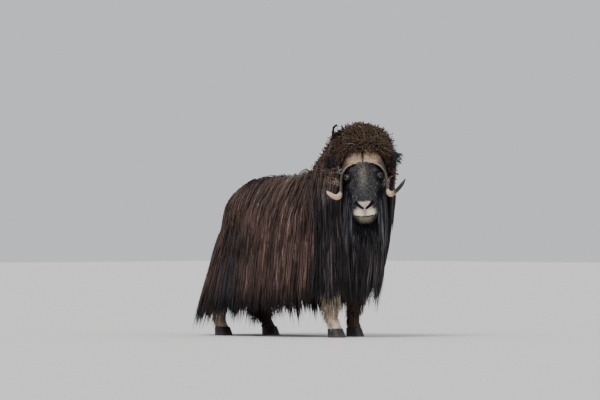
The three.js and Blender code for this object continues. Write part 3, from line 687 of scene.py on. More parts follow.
def body_tint(points):
    forward, right, up = along_body(points)
    mottle = ripples(points, 0.22, 21)
    tint = mix(DARK_BROWN, RED_BROWN, np.clip(0.5 + 0.3 * mottle, 0, 1))
    low = 1 - step(up, 170, 400 + 60 * mottle)
    tint = mix(tint, BLACK, 0.85 * low)
    front = step(forward, 390, 520) * (1 - step(up, 900, 1100))
    tint = mix(tint, BLUE_BLACK, 0.85 * front)
    haunch = bump(forward, -310, 130) * (1 - step(up, 560, 800))
    tint = mix(tint, BLUE_BLACK, 0.75 * haunch)
    # Olive-brown wool on top of the hump: partly its own colour, partly painted light falling from above
    dome = step(up, 1130, 1330) * step(forward, 250, 420)
    tint = mix(tint, OLIVE_BROWN, dome * np.clip(0.6 + 0.35 * mottle, 0, 1))
    # Grey-tan hair on the right of the neck: partly its own colour, partly painted light on the lit side
    mane = bump(forward, 570, 90) * bump(right, 225, 75) * bump(up, 1070, 140)
    tint = mix(tint, GREY_BROWN, 0.75 * mane)
    # Black-brown hair round the ears, deepened to black as painted shade beside the head
    left, down, front = np.moveaxis(on_left(to_head(points)), -1, 0)
    beside = bump(left, 138, 34) * step(front, -150, -80) * step(down, 0, 50) * (1 - step(down, 250, 330))
    tint = mix(tint, BLACK, 0.85 * beside)
    back = bump(forward, 60, 130) * step(up, 960, 1040)
    tint = mix(tint, SADDLE_TAN, 0.5 * back)
    crest = bump(forward, 60, 120) * step(up, 1045, 1085) * (1 - step(forward, 190, 260))
    return mix(tint, SADDLE, np.clip(crest * (0.85 + 0.2 * mottle), 0, 1))


def highlight(points):
    """How much of the flank's hair is painted a pinkish tan as highlight."""
    forward, _, up = along_body(points)
    side = step(up, 220, 380) * (1 - step(up, 860, 1040))
    return side * (0.35 + 0.65 * (1 - step(forward, 330, 480)) * step(forward, -240, -60))


def chest_sheen(points):
    """How much of the hair of the chest and throat is painted with bluish-grey streaks as sheen."""
    forward, _, up = along_body(points)
    return step(forward, 430, 540) * (1 - step(up, 980, 1120))


def face_tint(points):
    """Colours of the head, from places in its own millimetres."""
    near = on_left(points)
    left, down, front = np.moveaxis(near, -1, 0)
    fall_ = below_poll(down, front)
    face = step(front, -70, -10)
    speckle = ripples(points, 15, 31) * ripples(points, 8, 32)
    tint = mix(FACE_BLACK, SPECKLE, np.clip(0.08 + 0.34 * speckle, 0, 0.6) * face)
    middle = bump(points[..., 0], -4, 26) * bump(down, 215, 85) * step(front, 0, 20)
    tint = mix(tint, OLIVE_GREY, np.clip(middle * (0.5 + 0.4 * speckle), 0, 0.85))
    patch = bump(points[..., 0], 58, 42) * bump(down, 146, 34)
    tint = mix(tint, BLACK, 0.85 * patch)
    upper = above_mouth(points)
    rough = 4 * ripples(points, 11, 33)
    lip_height = step(fall_ + rough, 372, 396) * step(upper, 1, 4)
    lobes = 0.45 + 0.55 * step(left + 0.5 * rough, 2, 26)
    edge = 1 - step(left + rough, 46, 84)
    tint = mix(tint, LIP_WHITE, 0.95 * lip_height * lobes * edge)
    pad = step(fall_ + rough, 330, 342) * (1 - step(fall_, 376, 392)) * (1 - step(left + rough, 36, 58))
    tint = mix(tint, NOSE_PINK, 0.85 * pad)
    chin_side = left + 1.5 * rough + 0.55 * np.maximum(fall_ - 440, 0)
    chin = step(-upper, 2, 7) * step(down, 462, 480) * (1 - step(chin_side, 30, 68))
    tint = mix(tint, CHIN_TAN, 0.85 * chin * (1 - step(fall_ + 1.5 * rough, 455, 490)))
    # painted shade: the nostrils' hollows are painted black
    gap, t = nostril_gap(near)
    hole = NOSTRIL["radius"] * (0.6 + 0.6 * t)
    tint = mix(tint, BLACK, 1 - step(gap, hole * 0.95, hole * 1.4))
    # painted shade: black along the crease where the lips meet and at the mouth's corner
    line = bump(upper, 0, 4.2) * step(down, MOUTH["corner"] - 10, MOUTH["corner"] + 8)
    corner = np.linalg.norm(near - np.array([68, 452, -72]), axis=-1)
    tint = mix(tint, BLACK, np.clip(1.3 * line + bump(corner, 0, 13), 0, 1))
    eye = np.linalg.norm(near - np.array(EYE_PLACE), axis=-1)
    return mix(tint, BLACK, 0.8 * bump(eye, 24, 9))


LEG_TINTS = {
    # above, below, and the share of brown patches
    "foreleg_right": (LEG_PALE, LEG_PALE, 0.2),
    # painted shade: the far fore leg is painted dark brown for the shade it stands in
    "foreleg_left": (LEG_BROWN * 0.85, LEG_BROWN * 0.4, 0.3),
    "hindleg_right": (LEG_PALE * 0.7, LEG_PALE * 0.9, 0.35),
    # painted shade: the far hind leg is painted black and dark brown for the shade under the belly
    "hindleg_left": (BLACK * 1.5, DARK_BROWN, 0.2),
}


def leg_tint(name, points):
    above, below, patchy = LEG_TINTS[name]
    up = along_body(points)[2]
    patches = ripples(points, 0.07, 41)
    tint = mix(below, above, step(up, 120, 300))
    tint = mix(tint, LEG_BROWN, np.clip(patchy + 0.35 * patches, 0, 0.8))
    return mix(tint, BLACK, 0.8 * step(up, 400, 540))


def skin_tint(points):
    """The markings of the whole skin."""
    tint = body_tint(points)
    forward, right, up = along_body(points)
    for name, foot in FEET.items():
        middle = foot["forward"] + leg_lean(foot, up)
        own = (np.hypot(forward - middle, right - foot["right"]) < 125) & (up < 520)
        tint[own] = leg_tint(name, points[own])
    local = to_head(points)
    near = on_left(local)
    ear = (near[:, 0] > 121) & (near[:, 1] < 110) & (near[:, 2] < 10) & (near[:, 2] > -90)
    tint[ear] = BLACK
    own = inside_head(points, 34) & ~ear
    tint[own] = face_tint(local[own])
    return tint


# The skin


def ear_rings(side):
    """An ear: a long cup that opens ahead, its edge rounded."""
    rings, sides = 28, 40
    t = np.linspace(0, 1, rings)[:, None]
    a = np.linspace(0, TAU, sides, endpoint=False)[None, :]
    wide = EAR["width"] * np.sin(math.pi * (0.14 + 0.82 * t)) ** 0.8
    deep = EAR["depth"] * (0.75 - 0.45 * t)
    down = -6 + wide * np.cos(a) + 6 * t
    front = 4 + deep * np.sin(a)
    hollow = np.sin(math.pi * np.clip(t * 1.05, 0, 1))
    cup = np.clip(np.sin(a), 0, 1) ** 0.7 * deep * 1.5 * hollow
    left = side * (EAR["root"][0] + EAR["length"] * t - 10)
    down = EAR["root"][1] + down - 12 * t**2
    return from_head(np.stack(np.broadcast_arrays(left, down, EAR["root"][2] + front - cup), -1))


def eye_axes(side):
    """Where the eye looks, its level and its downward direction, in the head's own frame."""
    look = unit(np.array([side * EYE_LOOK[0], EYE_LOOK[1], EYE_LOOK[2]]))
    down = unit(np.array([0, 1, 0]) - look * look[1])
    return look, np.cross(down, look), down


def on_ball(side, polar, azimuth, radius):
    """Places round the eye, at an angle from its look and a radius from its middle."""
    look, level, down = eye_axes(side)
    polar, azimuth, radius = np.broadcast_arrays(polar, azimuth, radius)
    aim = (
        np.cos(polar)[..., None] * look
        + (np.sin(polar) * np.cos(azimuth))[..., None] * level
        + (np.sin(polar) * np.sin(azimuth))[..., None] * down
    )
    centre = np.array([side * EYE_PLACE[0], EYE_PLACE[1], EYE_PLACE[2]], float)
    return from_head(centre + aim * radius[..., None])


LID_OPEN = (46, 30)  # half width and half height of the opening, in degrees


def lid_rim(azimuth):
    """The angle between the eye's look and the edge of the lids."""
    wide, tall = np.radians(LID_OPEN)
    pointed = 1 + 0.12 * np.abs(np.cos(azimuth)) ** 6
    return pointed / np.sqrt((np.cos(azimuth) / wide) ** 2 + (np.sin(azimuth) / tall) ** 2)


def lid_rings(side):
    """Both lids as one cup over the ball, open in an almond, with a soft rim and a fold."""
    sides = 56
    a = np.linspace(0, TAU, sides, endpoint=False)[None, :]
    rim = lid_rim(a)
    far = math.radians(140)
    upper = np.clip(-np.sin(a), 0, 1)
    profile = [
        # share of the way back from the rim, height over the ball, more of it in the upper lid
        (1.0, -1.5, 0),
        (0.3, -0.9, 0),
        (0.03, -0.6, 0),
        (0.0, 0.6, 0.2),
        (0.015, 2.2, 0.8),
        (0.06, 3.3, 1.4),
        (0.12, 3.6, 1.8),
        (0.18, 2.6, 0.6),
        (0.24, 3.8, 2.4),
        (0.34, 4.6, 2.8),
        (0.55, 3.5, 1.5),
        (1.0, 1.0, 0),
    ]
    rings = [
        on_ball(side, rim + (far - rim) * share, a, EYE_RADIUS + height + more * upper)[0]
        for share, height, more in profile
    ]
    return np.stack(rings)


def build_skin():
    """Trunk, legs, tail, head, ears and lids, joined in one closed skin."""
    trunk_rings, trunk_sides = 90, 64
    forward = np.linspace(TRUNK[0, 0] + 12, TRUNK[-1, 0] - 6, trunk_rings)[:, None]
    angle = np.linspace(0, TAU, trunk_sides, endpoint=False)[None, :]
    depth = np.maximum(-SKIN_DEPTH * trunk["coat"](forward), -0.6 * trunk["half"](forward))
    skin = loft("skin", trunk_point(forward, angle, depth))
    parts = []
    up = np.linspace(LEG_TOP, LEG_FOOT, 60)[:, None]
    around = np.linspace(0, TAU, 40, endpoint=False)[None, :]
    for name, foot in FEET.items():
        parts.append(loft(f"{name}_skin", leg_surface(foot, up, around, -HAIR_ON_LEG)))
    t = np.linspace(0, 1, 14)[:, None]
    taper = 1 - 0.6 * t * t
    tail_forward = -TAIL["back"] + 60 - 100 * t + 0.7 * TAIL["thickness"] * taper * np.cos(around)
    tail_right = 0.7 * TAIL["width"] * taper * np.sin(around)
    parts.append(loft("tail_skin", place(tail_forward, tail_right, TAIL["up"] - TAIL["length"] * t)))
    down = np.linspace(SKULL[0, 0], SKULL[-1, 0], 240)[:, None]
    turn = np.linspace(0, TAU, 220, endpoint=False)[None, :]
    parts.append(loft("head_skin", from_head(face_surface(*np.broadcast_arrays(down, turn))[0])))
    for side in (1, -1):
        parts.append(loft("ear_skin", ear_rings(side)))
        parts.append(loft("lids", lid_rings(side)))
    group = bpy.data.collections.new("skin_parts")
    bpy.context.scene.collection.children.link(group)
    for part in parts:
        bpy.context.scene.collection.objects.unlink(part)
        group.objects.link(part)
    join = skin.modifiers.new("join", "BOOLEAN")
    join.operation = "UNION"
    join.operand_type = "COLLECTION"
    join.collection = group
    join.solver = "MANIFOLD"
    graph = bpy.context.evaluated_depsgraph_get()
    joined = bpy.data.meshes.new_from_object(skin.evaluated_get(graph))
    skin.modifiers.clear()
    skin.data = joined
    for part in parts:
        bpy.data.objects.remove(part)
    bpy.data.collections.remove(group)
    skin.data.polygons.foreach_set("use_smooth", np.full(len(skin.data.polygons), True))
    points = points_of(skin)
    tint = skin_tint(points)
    local = to_head(points)
    for side in (1, -1):
        look, level, down_way = eye_axes(side)
        centre = np.array([side * EYE_PLACE[0], EYE_PLACE[1], EYE_PLACE[2]])
        away = local - centre
        distance = np.linalg.norm(away, axis=-1)
        aim = np.arccos(np.clip((away @ look) / np.maximum(distance, 1e-6), -1, 1))
        lid = (distance < EYE_RADIUS + 9) & (aim < math.radians(95))
        beyond = np.degrees(aim - lid_rim(np.arctan2(away @ down_way, away @ level)))
        # painted highlight: a thin pale rim on the lids round each eye
        tint[lid] = mix(BLACK, LID_HIGHLIGHT, 0.42 * bump(beyond[lid], 5, 4))
    paint(skin, tint)
    return skin


# The fall of the coat


class Fall:
    """The lines that the coat follows, from the spine over the trunk and down to the hem."""

    STATIONS = 300
    SHARES = 72

    def __init__(self):
        rows = np.linspace(0, len(LOOP) - 1, 900)
        columns = [np.interp(rows, np.arange(len(LOOP)), LOOP[:, k]) for k in range(5)]
        forward, heading, flare, hem, late = columns
        c, s = np.cos(np.radians(heading)), np.sin(np.radians(heading))
        shift = trunk["shift"](forward)
        middle = trunk["bottom"](forward) * 0.45 + trunk["top"](forward) * 0.55
        rise = np.radians(np.linspace(87, -15, 36))[None, :]
        low = np.zeros((len(rows), rise.size))
        high = np.full_like(low, 1000.0)
        for _ in range(14):
            d = (low + high) / 2
            inside = inside_trunk(
                forward[:, None] + c[:, None] * np.cos(rise) * d,
                shift[:, None] + s[:, None] * np.cos(rise) * d,
                middle[:, None] + np.sin(rise) * d,
            )
            low = np.where(inside, d, low)
            high = np.where(inside, high, d)
        out, up = low * np.cos(rise), middle[:, None] + low * np.sin(rise)
        widest = out.argmax(axis=1)
        share = np.linspace(0, 1, self.SHARES)
        drop = np.linspace(0, 1, 16)[1:]
        points = np.empty((len(rows), self.SHARES, 3))
        lengths = np.empty(len(rows))
        for i, w in enumerate(widest):
            line_out = np.concatenate([out[i, : w + 1], out[i, w] + flare[i] * drop ** late[i]])
            line_up = np.concatenate([up[i, : w + 1], up[i, w] + (hem[i] - up[i, w]) * drop])
            steps = np.hypot(np.diff(line_out), np.diff(line_up))
            travelled = np.concatenate([[0], np.cumsum(steps)])
            at = share * travelled[-1]
            reach = np.interp(at, travelled, line_out)
            height = np.interp(at, travelled, line_up)
            points[i] = place(forward[i] + c[i] * reach, shift[i] + s[i] * reach, height)
            lengths[i] = travelled[-1] * MM
        rim = points[:, int(self.SHARES * 0.55), :2]
        walked = np.concatenate([[0], np.cumsum(np.linalg.norm(np.diff(rim, axis=0), axis=1))])
        self.round = walked[-1]
        even = np.linspace(0, self.round, self.STATIONS)
        index = np.interp(even, walked, np.arange(len(rows)))
        lower = np.clip(index.astype(int), 0, len(rows) - 2)
        blend = (index - lower)[:, None, None]
        self.points = points[lower] * (1 - blend) + points[lower + 1] * blend
        self.lengths = np.interp(even, walked, lengths)
        self.downs = unit(np.gradient(self.points, axis=1))
        arounds = np.gradient(self.points, axis=0)
        arounds[0] = arounds[-1] = self.points[1] - self.points[-2]
        self.outs = unit(np.cross(unit(arounds), self.downs))
        for _ in range(6):
            self.outs[1:-1] = unit(self.outs[:-2] + self.outs[2:] + self.outs[1:-1])

    def at(self, u, share):
        """Place, way out and way down at a distance round the body and a share of the fall."""
        u = np.mod(u, self.round) / self.round * (self.STATIONS - 1)
        t = np.clip(share, 0, 1) * (self.SHARES - 1)
        i = np.clip(u.astype(int), 0, self.STATIONS - 2)
        j = np.clip(t.astype(int), 0, self.SHARES - 2)
        a, b = (u - i)[..., None], (t - j)[..., None]

        def blend(grid):
            near = grid[i, j] * (1 - b) + grid[i, j + 1] * b
            far = grid[i + 1, j] * (1 - b) + grid[i + 1, j + 1] * b
            return near * (1 - a) + far * a

        down = unit(blend(self.downs))
        length = self.length(u / (self.STATIONS - 1) * self.round)
        beyond = ((share - np.clip(share, 0, 1)) * length)[..., None]
        return blend(self.points) + down * beyond, unit(blend(self.outs)), down

    def length(self, u):
        """Length of the fall at a distance round the body."""
        turned = np.mod(u, self.round) / self.round
        return np.interp(turned, np.linspace(0, 1, self.STATIONS), self.lengths)


fall = Fall()
FEWER = 1.0
BACK_RIDGE = 26  # how much higher the hair stands along the back's middle

# Tufts


def tuft_piece(name, paths, outs, widths, tints, unwrap, twist, flatness=0.45):
    """Closed tapered tufts, joined in one mesh. Each path is its middle line from root to tip."""
    count, rings = paths.shape[0], paths.shape[1] - 1
    along = unit(np.gradient(paths, axis=1))[:, :rings]
    out = outs[:, :rings]
    out = unit(out - along * np.sum(out * along, axis=-1, keepdims=True))
    turn = twist.reshape(-1, 1, 1)
    out = out * np.cos(turn) + np.cross(out, along) * np.sin(turn)
    side = np.cross(out, along)
    half = widths[:, :rings, None] / 2
    middle = paths[:, :rings]
    corners = [middle + side * half, middle + out * half * 2 * flatness, middle - side * half]
    section = np.stack(corners, 2).reshape(count, rings * 3, 3)
    points = np.concatenate([section, paths[:, -1:]], axis=1)
    per = rings * 3 + 1
    ring, k = np.meshgrid(np.arange(rings - 1), np.arange(3), indexing="ij")
    after = (k + 1) % 3
    near, far = ring * 3, ring * 3 + 3
    quads = np.stack([near + k, near + after, far + after, far + k], -1).reshape(-1, 4)
    end, tip = (rings - 1) * 3, per - 1
    fan = [[end, end + 1, tip], [end + 1, end + 2, tip], [end + 2, end, tip], [2, 1, 0]]
    starts = (np.arange(count) * per)[:, None, None]
    piece = mesh_object(name, points.reshape(-1, 3), quads + starts, np.array(fan) + starts)
    shades = np.concatenate([np.repeat(tints[:, :rings], 3, axis=1), tints[:, rings:]], axis=1)
    paint(piece, shades.reshape(-1, 3))
    add_unwrap(piece, unwrap, rings)
    return piece


UNWRAP_PATCH = 0.003  # side of each tuft's patch on the unwrap


def add_unwrap(piece, unwrap, rings):
    """Puts each tuft on a small patch at its root's place on the skin's unwrap."""
    along = np.concatenate([np.repeat(np.arange(rings), 3), [rings]]) / rings
    across = np.concatenate([np.tile([0.0, 0.5, 1.0], rings), [0.5]])
    patch = np.stack([across, along], -1)[None] * UNWRAP_PATCH
    flat = (unwrap[:, None, :] * (1 - UNWRAP_PATCH) + patch).reshape(-1, 2)
    corners = np.empty(len(piece.data.loops), np.int32)
    piece.data.loops.foreach_get("vertex_index", corners)
    layer = piece.data.uv_layers.new(name="OFBake")
    layer.data.foreach_set("uv", flat[corners].astype(np.float32).ravel())


def swollen(tau):
    """The width of a hair along itself: fine at its root and thickest in its middle."""
    return 0.6 + 0.85 * tau * (1.35 - tau)


def steps_of(rings):
    return np.linspace(0, 1, rings + 1)[None, :]


def clear_of_head(paths, grow):
    """Which hairs stay out of the head and don't hang in front of an ear."""
    left, down, front = np.moveaxis(on_left(to_head(paths)), -1, 0)
    at_ear = (left > 112) & (left < 265) & (down > -14) & (down < 104) & (front > -66)
    return ~(inside_head(paths, grow) | at_ear).any(axis=1)


def long_coat(draw, clumps, members, shares, reaches, lifts, width, rings, spread):
    """Clumps of long straight hair all round the body, rooted between two shares of the fall."""
    clumps = int(clumps * FEWER)
    u_clump = draw.uniform(0, fall.round, clumps)
    t_clump = draw.uniform(*shares, clumps)
    clump = np.repeat(np.arange(clumps), members)
    count = clump.size
    radius = np.sqrt(draw.uniform(0, 1, count)) * spread
    turn = draw.uniform(0, TAU, count)
    du, dt = radius * np.cos(turn), radius * np.sin(turn)
    fall_length = fall.length(u_clump)
    reach = draw.uniform(*reaches, clumps)
    reach = np.minimum(reach, (draw.normal(1.0, 0.022, clumps) - t_clump) * fall_length)
    length = reach[clump] * draw.uniform(0.84, 1.05, count)
    share = np.clip(t_clump[clump] + dt / fall_length[clump], 0, 1)
    u = u_clump[clump] + du
    lift = draw.uniform(*lifts, clumps)[clump] + draw.normal(0, 0.09, count)
    gather = du * draw.uniform(0.1, 0.8, clumps)[clump]
    stray = draw.normal(0, 1, count) * np.where(draw.uniform(0, 1, count) < 0.12, 0.018, 0.003)
    tau = steps_of(rings)
    sway = draw.normal(0, 0.003, clumps)[clump][:, None]
    phase = 0.9 * np.sin(u[:, None] * 9) + draw.normal(0, 0.12, clumps)[clump][:, None]
    wave = (0.0035 + sway) * np.sin(TAU * (tau * length[:, None] / 0.21 + phase)) * tau
    around = u[:, None] - gather[:, None] * tau**1.3 + wave + stray[:, None] * tau**2
    shares_along = share[:, None] + tau * (length / fall.length(u))[:, None]
    places, outs, _ = fall.at(around, shares_along)
    forward, right, _ = along_body(places)
    coat = trunk["coat"](forward) * MM
    sunk = -coat * SKIN_DEPTH * (1 - step(tau, 0, 0.22))
    close = 1 - 0.7 * step(-right, 40, 150) * step(forward, 440, 600)
    height = sunk + coat * close * np.clip(lift, 0.05, 1.1)[:, None] * step(tau, 0.0, 0.4)
    ridge = (1 - step(shares_along, 0.04, 0.2)) * (1 - step(forward, 200, 300)) * step(tau, 0, 0.3)
    height = height + BACK_RIDGE * MM * ridge * step(forward, -480, -250)
    paths = places + outs * height[..., None]
    wide = width * draw.uniform(0.6, 1.35, count)[:, None] * swollen(tau)
    shade = np.exp(draw.normal(0, 0.22, clumps)[clump] + draw.normal(0, 0.28, count))
    warm = draw.uniform(0, 1, clumps)[clump] * draw.uniform(0.2, 1, count)
    warm = step(warm, 0.34, 0.88)
    tint = body_tint(paths)
    # painted highlight: some strands of the flank turn pinkish tan where light catches the hair
    painted_highlight = 0.75 * warm[:, None] * highlight(paths) * (0.35 + 0.65 * step(tau, 0, 0.5))
    tint = mix(tint, PINK_TAN, painted_highlight)
    # painted sheen: bluish-grey streaks on the hair of the chest and throat
    tint = mix(tint, SLATE, 0.55 * warm[:, None] * chest_sheen(paths)) * shade[:, None, None]
    # painted shade: each hair is darker towards its root, among the other hairs, and lighter at its tip
    tint = tint * (0.55 + 0.6 * tau)[..., None]
    unwrap = np.stack([np.mod(u, fall.round) / fall.round, share], -1)
    clear = clear_of_head(paths, 14)
    return [a[clear] for a in (paths, outs, wide, tint, unwrap)]


def wool(draw, clumps, members, length, width, rings):
    """Curly wool over the hump and neck, short and soft."""
    clumps = int(clumps * FEWER)
    u_clump = draw.uniform(0, fall.round, clumps)
    t_clump = draw.uniform(0, 0.36, clumps)
    forward, right, up = along_body(fall.at(u_clump, t_clump)[0])
    keep = (forward > 310 + 50 * draw.normal(size=clumps)) & (up > 1075 + 45 * draw.normal(size=clumps))
    u_clump, t_clump = u_clump[keep], t_clump[keep]
    clumps = len(u_clump)
    clump = np.repeat(np.arange(clumps), members)
    count = clump.size
    radius = np.sqrt(draw.uniform(0, 1, count)) * 0.026
    turn = draw.uniform(0, TAU, count)
    share = np.clip(t_clump[clump] + radius * np.cos(turn) / 1.2, 0, 1)
    u = u_clump[clump] + radius * np.sin(turn)
    root, out, down = fall.at(u, share)
    side = np.cross(out, down)
    forward, right, _ = along_body(root)
    coat = trunk["coat"](forward) * MM
    above = along_body(root)[2]
    leftward = step(-right, 40, 150) * step(forward, 480, 620)
    fluff = 1 + leftward * (0.45 * step(above, 1190, 1270) - 0.6 * (1 - step(above, 1100, 1200)))
    fluff = fluff - 0.22 * step(above, 1300, 1345)
    fluff = fluff - 0.4 * step(right, 50, 120) * step(above, 1160, 1230)
    heading = draw.normal(0, 1.2, clumps)[clump] + draw.normal(0, 0.6, count)
    lean = down * np.cos(heading)[:, None] + side * np.sin(heading)[:, None]
    tau = steps_of(rings)[..., None]
    reach = (length * draw.uniform(0.6, 1.2, count))[:, None, None]
    height = draw.uniform(0.6, 1.15, clumps)[clump] * draw.uniform(0.7, 1.15, count)
    tall = (coat * fluff * height)[:, None, None]
    turns = draw.uniform(0.8, 1.9, count)[:, None, None]
    phase = draw.uniform(0, 1, clumps)[clump][:, None, None]
    curl = 0.013 * np.sin(TAU * (tau * turns + phase))
    lift = 0.011 * np.cos(TAU * (tau * 1.3 + draw.uniform(0, 1, count)[:, None, None]))
    rise = -coat[:, None, None] * SKIN_DEPTH * (1 - step(tau, 0, 0.3)) + tall * step(tau, 0, 0.75)
    rise = rise - 0.35 * tall * step(tau, 0.7, 1.0)
    paths = root[:, None] + lean[:, None] * reach * tau**1.4 + out[:, None] * (rise + lift * tau)
    paths = paths + side[:, None] * curl * tau
    outs = np.broadcast_to(out[:, None], paths.shape)
    tau = tau[..., 0]
    wide = width * draw.uniform(0.7, 1.3, count)[:, None] * swollen(tau)
    shade = np.exp(draw.normal(0, 0.28, clumps)[clump] + draw.normal(0, 0.2, count))
    # painted shade: each curl is darker towards its root, deep in the wool, and lighter at its tip
    tint = body_tint(paths) * shade[:, None, None] * (0.35 + 0.85 * tau)[..., None]
    unwrap = np.stack([np.mod(u, fall.round) / fall.round, share], -1)
    clear = clear_of_head(paths, 6)
    return [a[clear] for a in (paths, outs, wide, tint, unwrap)]


def free_paths(roots, normals, lies, length, rise, droop, rings):
    """Hairs that leave their roots, lean to their lie and droop."""
    tau = steps_of(rings)[..., None]
    length = length[:, None, None]
    paths = roots[:, None] + lies[:, None] * length * tau
    paths = paths + normals[:, None] * length * rise[:, None, None] * tau * (1.7 - tau)
    return paths - UP * length * droop[:, None, None] * tau**2


def fall_unwrap(roots):
    """The nearest place of each root on the unwrap of the coat's fall."""
    gaps = np.linalg.norm(fall.points[None, ::3, ::2] - roots[:, None, None], axis=-1)
    nearest = gaps.reshape(len(roots), -1).argmin(axis=1)
    i, j = np.unravel_index(nearest, gaps.shape[1:])
    return np.stack([i / gaps.shape[1], j / gaps.shape[2]], -1)


def spine_hair(draw, count):
    """Hair that lies back along the middle of the back and closes the parting."""
    count = int(count * FEWER)
    forward = draw.uniform(-400, 590, count)
    angle = draw.normal(0, 0.075, count)
    roots = trunk_point(forward, angle, -SKIN_DEPTH * trunk["coat"](forward))
    slope = (trunk["top"](forward + 5) - trunk["top"](forward - 5)) / 10
    normals = unit(direction(-slope, 0, 1))
    across = np.sign(angle) * draw.uniform(0.0, 0.55, count)
    lies = unit(direction(-1, across, -slope))
    length = draw.uniform(90, 180, count) * (1 - 0.3 * step(forward, 280, 420)) * MM
    rings = 4
    tau = steps_of(rings)
    rise = draw.uniform(0.3, 0.55, count)
    droop = 0.2 + 0.25 * (1 - step(forward, -330, -150))
    paths = free_paths(roots, normals, lies, length, rise, droop, rings)
    wide = 4.8 * MM * draw.uniform(0.7, 1.3, count)[:, None] * swollen(tau)
    shade = np.exp(draw.normal(0, 0.32, count))
    # painted shade: each hair is darker towards its root, among the other hairs, and lighter at its tip
    tint = body_tint(paths) * shade[:, None, None] * (0.6 + 0.5 * tau)[..., None]
    outs = np.broadcast_to(normals[:, None], paths.shape)
    return paths, outs, wide, tint, fall_unwrap(roots)


CURL = np.array(
    [
        # forward, right, up: the dark curl that stands off the side of the hump
        [468, 112, 1236],
        [474, 132, 1300],
        [478, 138, 1348],
        [480, 136, 1386],
        [492, 126, 1401],
        [503, 116, 1390],
    ],
    float,
)


def dome_curl(draw, count):
    """A hooked lock of dark wool."""
    line = place(*CURL.T)
    tau = steps_of(len(CURL) - 1)
    offset = draw.normal(0, 5.5, (count, 1, 3)) * MM * (1.15 - 0.8 * tau)[..., None]
    paths = line[None] + offset
    outs = np.broadcast_to(direction(0.3, 1, 0.3), paths.shape)
    wide = 5.0 * MM * draw.uniform(0.7, 1.3, count)[:, None] * swollen(tau)
    shade = np.exp(draw.normal(0, 0.3, count))[:, None, None]
    tint = np.broadcast_to(DARK_BROWN * 0.7, paths.shape) * shade
    return paths, outs, wide, tint, fall_unwrap(paths[:, 0])


def head_unwrap(down, angle):
    return np.stack([np.mod(angle / TAU + 0.5, 1), np.clip((down + 45) / 560, 0, 1)], -1)


def flat_to(vectors, normals, share):
    """Vectors with most of their part along the normals taken away."""
    return unit(vectors - normals * np.sum(vectors * normals, axis=-1, keepdims=True) * share)


def head_hair(draw, count):
    """Short hair of the face and longer hair of the cheeks and jaw."""
    count = int(count * FEWER)
    down = draw.uniform(20, 506, count)
    angle = draw.uniform(-math.pi, math.pi, count)
    local, normal = face_surface(down, angle)
    near = on_left(local)
    eye = np.linalg.norm(near - np.array(EYE_PLACE), axis=-1)
    gap, _ = nostril_gap(near)
    lips =(np.abs(above_mouth(local)) < 4) & (down > MOUTH["corner"] - 10)
    nose = (below_poll(down, local[:, 2]) > 326) & (near[:, 0] < 52) & (above_mouth(local) > 24)
    keep = (eye > 27) & (gap > 11) & ~lips & ~nose
    down, angle, local, normal, near = (a[keep] for a in (down, angle, local, normal, near))
    count = down.size
    turned = np.degrees(np.abs(angle))
    face = 1 - step(turned, 50, 85)
    muzzle = step(down, 380, 430)
    length = 15 - 7 * muzzle
    length = length + (1 - face) * (25 + 45 * step(turned, 80, 140)) * (1 - step(down, 370, 430))
    length = length + 80 * step(turned, 100, 150) * (1 - step(down, 380, 440))
    length = length * draw.uniform(0.7, 1.25, count) * MM
    roots = from_head(local - normal * 1.5)
    normals = normal @ HEAD.T
    flow = np.stack([0.35 * np.sin(angle), np.ones_like(angle), 0 * angle], -1)
    flow[:, 0] += draw.normal(0, 0.2, count)
    hang = (0.4 + 0.9 * (1 - face))[:, None]
    lies = flat_to(unit(unit(flow) @ HEAD.T - UP * hang), normals, 0.9)
    rise = 0.14 + draw.uniform(0, 0.12, count)
    rings = 3
    paths = free_paths(roots, normals, lies, length, rise, 0.25 * (1 - face), rings)
    tau = steps_of(rings)
    wide = (2.6 + 2.0 * step(length, 0.03, 0.1)) * MM * draw.uniform(0.7, 1.3, count)
    tint = face_tint(local)
    bright = step(draw.uniform(0, 1, count), 0.7, 0.95) * face * (1 - step(down, 385, 410))
    tint = mix(tint, SPECKLE, 0.42 * bright)
    tint = mix(tint, FACE_BLACK, step(length, 0.024, 0.04))
    shade = np.exp(draw.normal(-0.1, 0.5, count) * (1 - 0.7 * muzzle))
    # painted shade: each hair is darker towards its root, among the other hairs, and lighter at its tip
    tint = tint[:, None] * shade[:, None, None] * (0.7 + 0.5 * tau)[..., None]
    outs = np.broadcast_to(normals[:, None], paths.shape)
    return paths, outs, wide[:, None] * swollen(tau), tint, head_unwrap(down, angle)


